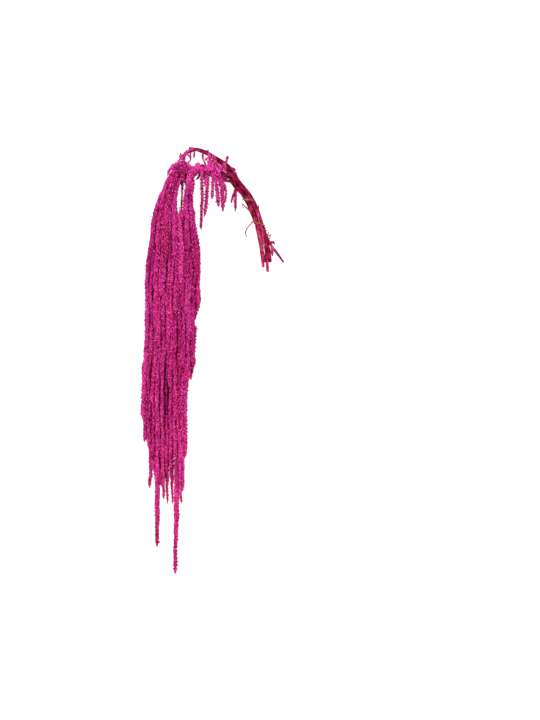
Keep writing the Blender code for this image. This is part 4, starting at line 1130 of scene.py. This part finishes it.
def front_ropes(heap):
    """The ropes that show from the front, lowest first, so that each lies over the root of the next one down."""
    todo = []
    for share, first, last, column in FRONT:
        row = first
        while row < last - SHORTEST_START:
            length = STAMP.uniform(*FRONT_LENGTHS) / PIXEL
            tip = row + length if row + length < last - SHORTEST_END else last
            todo.append((row, tip, share, column if tip == last else None))
            row = tip - STAMP.uniform(*FRONT_OVERLAP)
            if tip == last:
                break
    found = []
    level_rows = MIDDLE_ROW - heap.levels / PIXEL
    for row, tip_row, share, column in sorted(todo, key=lambda rope: -rope[0]):
        course = flow(share, level_rows) + STAMP.uniform(-OFF_COURSE, OFF_COURSE)
        course = course + STAMP.uniform(-SLANT, SLANT) * ((level_rows - row) / (tip_row - row) - 0.5)
        if column:
            turned = smooth((level_rows - tip_row + END_ROWS) / END_ROWS)
            course = course + (column - flow(share, tip_row)) * turned
        root, tip = rows(row), rows(tip_row)
        x = columns(course) + waver(heap.levels[0] - heap.levels, FRONT_SWAY, FRONT_WAVE)
        width = np.interp(level_rows, FRONT_ROWS, np.array(FRONT_RADII)) * STAMP.uniform(*FRONT_VARIES)
        radius = width * np.clip(ROOT_GIRTH + (root - heap.levels) / GROW_RUN, 0, 1)
        if column:
            radius = radius * (1 - END_TAPER * smooth((level_rows - tip_row + TAPER_ROWS) / TAPER_ROWS))
        z = rest_on(heap, x, width, root)
        lives = (heap.levels <= root) & (heap.levels >= tip)
        if lives.sum() < FRONT_LEVELS:
            continue
        lay(heap, x, z, radius, lives)
        y = np.concatenate([[root], heap.levels[lives], [tip]])
        points = list(zip(along(y, heap.levels, x), y, along(y, heap.levels, z)))
        head = heap.nearest(root, x, z)
        lumps = LAST_LUMPS if column else FRONT_LUMPS
        found.append((heap.names[head], points, along(y, heap.levels, radius), lumps))
    return found


def outmost(x, z, r, on, middle_x, middle_z, angle, size):
    """How far out along an angle a rope comes to lie on the ropes that are there, at every level."""
    ahead_x, ahead_z = np.cos(angle), np.sin(angle)
    dx, dz = x - middle_x, z - middle_z
    forward = dx * ahead_x + dz * ahead_z
    sideways = dx * ahead_z - dz * ahead_x
    touch = SINK * (r + size)
    out = forward + np.sqrt(np.maximum(touch ** 2 - sideways ** 2, 0))
    return np.where(on.astype(bool) & (abs(sideways) < touch), out, 0).max(0)


def stem_tree(ropes):
    """All stems as one tree of triangles, to test what can be seen past them."""
    mesh = Mesh()
    for rope in ropes:
        add_stem(mesh, rope, step=TREE_STEP, share=TREE_SHARE)
    corners, faces = np.concatenate(mesh.corners), np.concatenate(mesh.faces)
    return BVHTree.FromPolygons(corners.tolist(), faces.tolist(), all_triangles=True)


def openness(tree, spots, out):
    """The share of rays about each tuft's own direction that leave the bunch."""
    k = np.arange(RAY_COUNT) + 0.5
    up = 1 - 2 * k / RAY_COUNT
    flat = np.sqrt(1 - up ** 2)
    sphere = np.stack([flat * np.cos(GOLDEN_ANGLE * k), flat * np.sin(GOLDEN_ANGLE * k), up], 1)
    ways = unit(out[:, None] * RAY_LEAN + sphere[None])
    free = [sum(tree.ray_cast(spot, way, RAY_REACH)[0] is None for way in around)
            for spot, around in zip(spots.tolist(), ways.tolist())]
    return np.array(free) / RAY_COUNT


def trimmed(points, radii):
    """One of the source's ropes without the end that the photograph's thinner ropes take the place of."""
    kept = [k for k, p in enumerate(points) if p[1] > rows(TRIM_ROW) or p[0] < columns(TRIM_COLUMN)]
    points, radii = within([points[k] for k in kept], np.array(radii)[kept])
    x, y = points[:, 0], points[:, 1]
    for first, last, low, high, girth in THINNED:
        there = (x > columns(low)) & (x < columns(high)) & (y < rows(first)) & (y > rows(last))
        radii = radii * np.where(there, girth, 1)
    return points, radii


def within(points, radii):
    """The same rope moved sideways where it would stand out over the heap's edges in the photograph."""
    points = listed(points)
    x, row = points[:, 0], MIDDLE_ROW - points[:, 1] / PIXEL
    left = columns(np.interp(row, *np.array(LEFT_EDGE).T)) + radii + EDGE_INSET
    right = columns(np.interp(row, *np.array(RIGHT_EDGE).T)) - radii - EDGE_INSET
    moved = np.minimum(np.maximum(x, left), np.maximum(right, left))
    beside = (row > LEFT_EDGE[0][0]) & (row < LEFT_EDGE[-1][0])
    points[:, 0] = np.where(beside & ((x < left) | (row > RIGHT_EDGE[0][0])), moved, x)
    return points, radii


def slim_neck(name, points, radii):
    """A head's core, drawn in at its neck between the arch and the heap, and with the girth of its lower end."""
    points = listed(points)
    last_row, shift = NECK
    share = smooth((points[:, 1] - rows(last_row + NECK_BELOW)) / (NECK_ROWS * PIXEL))
    share = share * (points[:, 0] < columns(NECK_COLUMN)) * (name in ("head_1", "head_2"))
    if name == "head_2":
        points[:, 0] -= share * shift * PIXEL
    radii = np.array(radii) * (1 - (1 - NECK_GIRTH) * share)
    low = smooth((rows(LONG_TIP_ROW) - points[:, 1]) / (LONG_TIP_ROWS * PIXEL))
    radii = radii * (1 + LONG_TIP_GIRTH * low)
    if name in THIN_CORES:
        low = smooth((rows(THIN_ROW) - points[:, 1]) / (THIN_ROWS * PIXEL))
        radii = radii * (1 - THINNER * low)
        points[:, 0] += THIN_SHIFT * PIXEL * low
    return points, radii


def core_ropes(points, radii):
    """The ropes that a core stands for: one down its middle, and others wound close round it where it is thick."""
    made = [Rope(points, np.minimum(radii, CORE_RADIUS), ROPE_TONE, full=0, lumps=CORE_LUMPS)]
    for k in range(OUTER_ROPES):
        turn = 2 * np.pi * (k + STAMP.uniform(-0.2, 0.2)) / OUTER_ROPES
        first = np.argmax(radii > OUTER_RADIUS + OUTER_FIRST)
        last = len(radii) - 1 - np.argmax(radii[::-1] > OUTER_RADIUS + OUTER_LAST)
        if last - first < 3:
            continue
        last = max(first + 3, last - STAMP.integers(0, 5))
        line, reach = points[first:last + 1], radii[first:last + 1]
        _, side, up = axes_of(line)
        angle = turn + waver(np.linspace(0, 0.3, len(line)), 0.5, 0.3)
        offset = (reach - OUTER_RADIUS)[:, None] * round_about(angle, side, up)
        size = np.full(len(line), OUTER_RADIUS)
        size[-len(OUTER_TIP):] *= OUTER_TIP
        size[0] *= OUTER_ROOT
        made.append(Rope(line + offset, size, any_tone(spread=LAID_SPREAD), lumps=OUTER_LUMPS))
    return made


# Looks of the stalks and ties
STALK_SIDES = 14
STALK_STEP = 1.6 * MM
STALK_SWAY, STALK_WAVE, SWAY_END = 0.3 * MM, 55 * MM, 30 * MM
RIDGES, RIB_DEPTH = 5, 0.11       # lengthwise ribs of a stalk, and their depth as a share of its radius
FINE_RIDGES, FINE_DEPTH = 11, 0.03
RIB_TURN, RIB_WAVE = 0.7, 90 * MM          # how the ribs wind along it,
THICK_VARIES, THICK_WAVE = 0.05, 30 * MM   # and how its thickness varies
NODE_START, NODE_STEP, NODE_OFF = 24, 34, 6     # in mm: where a stalk's swellings lie along it
NODE_GIRTH, NODE_LENGTH = 0.16, 2.4 * MM
END_GIRTH, END_LENGTH = 0.35, 1.2 * MM     # how much thinner it is at its cut end, and over what length
STALK_REACH = 3 * MM              # how far a stalk goes on into its head
BENDS = {(246.6, 236.5): (245.6, 233.6)}    # twigs that end in a hook: their ends, and where they bend
TWIG_SIDES, TWIG_STEP = 7, 1.2 * MM
TWIG_GIRTH = (1.15, 1.0, 0.65)    # at its foot, bend and end
TWIG_SWAY, TWIG_WAVE, TWIG_HELD, TWIG_LUMPS = 0.25 * MM, 12 * MM, 3 * MM, 0.15
TWIG_RISE, BEND_SHARE, BEND_RISE = 1.5 * MM, 0.55, 1.2 * MM     # of its end, and where its bend is
# Finer stems that the source leaves out, for each stalk: column and row beside it, column and row of the end,
# radius in mm, column and row of the bend
HOOKS = {
    "stalk_3": [
        (232.4, 176.4, 222.4, 168.6, 1.6, 228, 172),
    ],
    "stalk_4": [
        (232.4, 179.4, 222.6, 174.4, 1.5, 228.6, 177.4),
    ],
    "stalk_2": [
        (263.5, 227.5, 266.8, 229, 0.8, 265.6, 231), (265, 232, 268.8, 231.4, 0.8, 267.8, 234.2),
        (266.5, 236, 270.4, 235, 0.8, 269.6, 238), (270, 243, 274.4, 244, 1.1, 273.6, 241),
    ],
}
STRANDS = 2                       # turns of twine in a tie
STRAND_RADIUS = 0.42 * MM
STRAND_SIDES, STRAND_STEP, TAIL_STEP = 8, 0.55 * MM, 0.6 * MM
TWIST_DEPTH, TWIST_LENGTH = 0.16, 2.6 * MM
TURN_WAVE = 0.1 * MM              # how far the turns wind up and down
TAILS = ((1, 7), (-1, 5.5))       # the twine's two ends: which way they go, and how far in mm


def tube_arrays(line, radius_at, sides):
    """Corners, triangles and UV corners of a closed tube. radius_at gives its radii at these angles."""
    _, side, up = axes_of(line)
    angle = angles(sides)
    corners, faces = tube(line, side, up, radius_at(angle), sides)
    length = np.concatenate([[0], np.cumsum(np.linalg.norm(np.diff(line, axis=0), axis=1))])
    share = length / length[-1]
    k = np.arange(sides)
    after = (k + 1) % sides
    uvs = []
    for low, high in zip(share[:-1], share[1:]):
        near, near_next, far, far_next = (np.stack([(k + step) / sides, np.full(sides, v)], 1)
                                          for v in (low, high) for step in (0, 1))
        uvs += [np.stack([far_next, near_next, near], 1), np.stack([far, far_next, near], 1)]
    for v, a, b in ((0.0, k, after), (1.0, after, k)):
        spot = np.stack([0.5 + 0.02 * np.cos(angle), np.full(sides, abs(v - 0.01))], 1)
        uvs.append(np.stack([np.full((sides, 2), (0.5, v)), spot[a], spot[b]], 1))
    return corners, faces, np.concatenate(uvs)


def make_stalk(name, material):
    """A stalk with its twigs. It gives back the ropes of those that bear flowers."""
    points, radii = stalk_line(name)
    points = points[:-1] + [points[-1] + (points[-1] - points[-2]).normalized() * STALK_REACH]
    line, radius, at = smoothed(points, radii, STALK_STEP)
    held = smooth(at / SWAY_END)
    drift = waver(at, STALK_SWAY, STALK_WAVE) * held * smooth((at[-1] - at) / SWAY_END)
    line = line + axes_of(line)[1] * drift[:, None]
    phase = wander(at, RIB_TURN, RIB_WAVE, 1)
    thick = 1 + wander(at, THICK_VARIES, THICK_WAVE, 1)
    swell = np.zeros(len(at))
    for spot in np.arange(NODE_START * MM, at[-1], NODE_STEP * MM):
        off = STAMP.uniform(-NODE_OFF, NODE_OFF) * MM
        swell += NODE_GIRTH * np.exp(-((at - spot - off) / NODE_LENGTH) ** 2)
    end = 1 - END_GIRTH * np.exp(-(at / END_LENGTH) ** 2)

    def radius_at(angle):
        ribs = (1 + RIB_DEPTH * np.cos(RIDGES * angle[None] + 3 * phase)
                + FINE_DEPTH * np.cos(FINE_RIDGES * angle[None] - 5 * phase))
        return radius[:, None] * ribs * (thick + swell[:, None]) * end[:, None]

    mesh = Mesh()
    mesh.add(*tube_arrays(line, radius_at, STALK_SIDES))
    sprigs = []
    for column, row, end_column, end_row, size in TWIGS.get(name, ()):
        bend = BENDS.get((end_column, end_row))
        way = add_twig(mesh, line, column, row, end_column, end_row, size, bend)
        if size >= SPRIG_RADIUS:
            leaf = name == "stalk_1" and end_row < LEAF_ROW
            girth = np.array(LEAF_PROFILE if leaf else SPRIG_PROFILE) * size * MM
            sprigs.append(Rope(way, girth, SPRIG_TONE, sway=SPRIG_SWAY, full=0, lumps=SPRIG_LUMPS))
            sprigs[-1].hue -= SPRIG_REDDER
    for *hook, bend_column, bend_row in HOOKS.get(name, ()):
        add_twig(mesh, line, *hook, (bend_column, bend_row))
    obj = mesh.build(name + "_stem", material, "Grain", smooth_faces=True)
    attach(obj, "root")
    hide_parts(name)
    return sprigs


def add_twig(mesh, line, column, row, end_column, end_row, radius, bent):
    """A dry twig from the nearest place of a stalk, thick at its foot. bent is the column and row of its bend."""
    beside = np.array(place(column, row))
    foot = line[np.argmin(np.hypot(*(line[:, :2] - beside).T))]
    end = np.array([*place(end_column, end_row), foot[2] + TWIG_RISE])
    bend = foot + BEND_SHARE * (end - foot) + (0, 0, BEND_RISE)
    if bent:
        bend = np.array([*place(*bent), bend[2]])
    way = np.array([foot, bend, end])
    twig_line, width, at = smoothed(way, np.array(TWIG_GIRTH) * radius * MM, TWIG_STEP)
    wobble = wander(at, TWIG_SWAY, TWIG_WAVE, 3) * smooth(at / TWIG_HELD)[:, None]
    width = width[:, None] * (1 + wander(at, TWIG_LUMPS, TWIG_WAVE / 2, 1))
    mesh.add(*tube_arrays(twig_line + wobble, lambda angle: width, TWIG_SIDES))
    return way


def make_sprigs(ropes, material):
    """The flowers on the stalks' own sprigs."""
    mesh = Mesh()
    tree = stem_tree(ropes)
    for rope in ropes:
        add_stem(mesh, rope, step=SPRIG_STEM_STEP, tone=SPRIG_STEM_TONE)
        add_stars(mesh, rope, tree, spacing=SPRIG_SPACING, size=SPRIG_STAR)
    obj = mesh.build("sprig_flowers", material)
    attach(obj, "root")


def make_tie(name, material):
    """Turns of thin twine round the bundle, with two loose ends on top."""
    middle, (side, up, along_bundle), centres = tie_plane(name)
    middle, side, up, along_bundle = (np.array(v) for v in (middle, side, up, along_bundle))
    loop = np.array(tie_outline(centres, STALK_RADIUS + GAP + TIE_THICKNESS / 2, 7))
    turns = np.concatenate([loop] * STRANDS + [loop[:1]])
    height = np.linspace(-1, 1, len(turns)) * (TIE_WIDTH / 2 - STRAND_RADIUS / 2)
    height = height + TURN_WAVE * np.sin(np.arange(len(turns)) * 1.7)
    line = middle + turns[:, :1] * side + turns[:, 1:] * up + height[:, None] * along_bundle
    mesh = Mesh()
    add_twine(mesh, line, np.full(len(line), STRAND_RADIUS), STRAND_STEP)
    top = middle + up * loop[:, 1].max() + side * 0.6 * MM
    for lean, reach in TAILS:
        tail = [top, top + side * lean * 1.5 * MM + up * 1.0 * MM,
                top + side * lean * reach * 0.7 * MM + along_bundle * lean * reach * 0.5 * MM]
        add_twine(mesh, tail, [STRAND_RADIUS, STRAND_RADIUS, 0.7 * STRAND_RADIUS], TAIL_STEP)
    obj = mesh.build(name + "_twine", material, "Grain", smooth_faces=True)
    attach(obj, "root")
    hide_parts(name)


def add_twine(mesh, points, radii, step):
    """A strand with its twist showing as a ripple."""
    line, radius, at = smoothed(points, radii, step)
    mesh.add(*tube_arrays(line, lambda angle: radius[:, None] * (1 + TWIST_DEPTH * np.cos(
        2 * angle[None] - 2 * np.pi * at[:, None] / TWIST_LENGTH)), STRAND_SIDES))


def streaky_material(name, colours, roughness, stretch, bump, fade=0.0):
    """Lengthwise streaks of several colours, with fine bump, darker by fade at the far end.

    colours lists (share, colour).
    """
    material, tree, shader = new_material(name, {"Roughness": roughness, "Specular IOR Level": 0.05})
    grain = add_node(tree, "UVMap", {}, uv_map="Grain")["UV"]
    stretched = add_node(tree, "Mapping", {"Scale": stretch, "Vector": grain})["Vector"]
    streaks = add_node(tree, "TexNoise", {"Scale": 1.0, "Detail": 4, "Roughness": 0.6, "Vector": stretched})["Fac"]
    place_in = add_node(tree, "TexCoord", {})["Object"]
    spots = add_node(tree, "TexNoise", {"Scale": 90, "Detail": 3, "Vector": place_in})["Fac"]
    both = add_node(tree, "Mix", {"Factor": 0.45, "A": streaks, "B": spots})["Result"]
    far = add_node(tree, "SeparateXYZ", {"Vector": grain})["Y"]
    darker = add_node(tree, "MapRange", {
        "From Min": 0.45, "From Max": 0.75, "To Max": -fade, "Value": far})["Result"]
    shifted = add_node(tree, "Math", {0: both, 1: darker})["Value"]
    relief = add_node(tree, "Bump", {"Strength": bump, "Distance": 0.3 * MM, "Height": streaks})
    set_inputs(tree, shader, {"Base Color": add_ramp(tree, shifted, colours), "Normal": relief["Normal"]})
    return material


# The stalks' streaks: the dark to mid stops are their own wine red, the palest stop paints highlight lines along
# them
STALK_STREAKS_AND_HIGHLIGHTS = [
    (0.38, (40, 0, 4)), (0.45, (88, 0, 24)), (0.50, (128, 10, 52)), (0.56, (160, 32, 86)), (0.64, (206, 112, 146)),
]
TIE_COLOURS = [(0.35, (92, 62, 34)), (0.5, (130, 94, 58)), (0.65, (164, 128, 88))]


# The photograph's frame
IMAGE_WIDTH, IMAGE_HEIGHT = 540, 720
CAMERA_HEIGHT = 3.6               # metres above the middle of the ropes
OBJECT_MIDDLE = 20 * MM
SENSOR = 36                       # millimetres, along the longer side of the picture
FLOOR_SIZE, FLOOR_GREY, FLOOR_GLOW, WORLD_GLOW = 12, 0.25, 0.86, 0.9
LIGHTS = {"key": ((-0.9, 0.7, 2.4), 0.9, 56), "top": ((0.25, -0.1, 3.2), 1.0, 62)}   # place, width and power


def make_camera():
    camera = new_object("camera", bpy.data.cameras.new("camera"))
    camera.data.sensor_width = SENSOR
    camera.data.lens = SENSOR * CAMERA_HEIGHT / (IMAGE_HEIGHT * PIXEL)
    camera.data.clip_end = 20
    camera.location = (*place(IMAGE_WIDTH / 2, IMAGE_HEIGHT / 2), OBJECT_MIDDLE + CAMERA_HEIGHT)
    bpy.context.scene.camera = camera


def make_light(name, spot, size, power):
    """A round lamp that points at the middle."""
    data = bpy.data.lights.new(name, "AREA")
    data.shape = "DISK"
    data.size = size
    data.energy = power
    light = new_object(name, data)
    light.location = spot
    light.rotation_mode = "QUATERNION"
    light.rotation_quaternion = (-Vector(spot)).to_track_quat("-Z", "Y")


def make_studio():
    """A white floor and world, with two lamps."""
    mesh = bmesh.new()
    bmesh.ops.create_grid(mesh, x_segments=1, y_segments=1, size=FLOOR_SIZE)
    data = bpy.data.meshes.new("floor")
    mesh.to_mesh(data)
    mesh.free()
    data.materials.append(new_material("floor", {
        "Base Color": (*[FLOOR_GREY] * 3, 1), "Emission Color": (1, 1, 1, 1), "Emission Strength": FLOOR_GLOW,
        "Roughness": 0.9, "Specular IOR Level": 0.0})[0])
    new_object("floor", data)
    world = bpy.data.worlds.new("studio")
    world.use_nodes = True
    tree = world.node_tree
    set_inputs(tree, tree.nodes["Background"], {"Color": (1, 1, 1, 1), "Strength": WORLD_GLOW})
    bpy.context.scene.world = world
    for name, light in LIGHTS.items():
        make_light(name, *light)
    bpy.context.scene.view_settings.view_transform = "Standard"


def make_all():
    flowers = palette_material("amaranth_flowers", FLOWER_PALETTE, 0.8)
    bark = streaky_material("amaranth_stalk", STALK_STREAKS_AND_HIGHLIGHTS, 0.6, (12, 14, 1), 0.6, 0.06)
    twine = streaky_material("twine", TIE_COLOURS, 0.85, (6, 200, 1), 0.6)
    make_heads(Heap(), flowers)
    make_sprigs([rope for name in STALKS for rope in make_stalk(name, bark)], flowers)
    for name in TIES:
        make_tie(name, twine)
    make_studio()
    make_camera()


make_all()
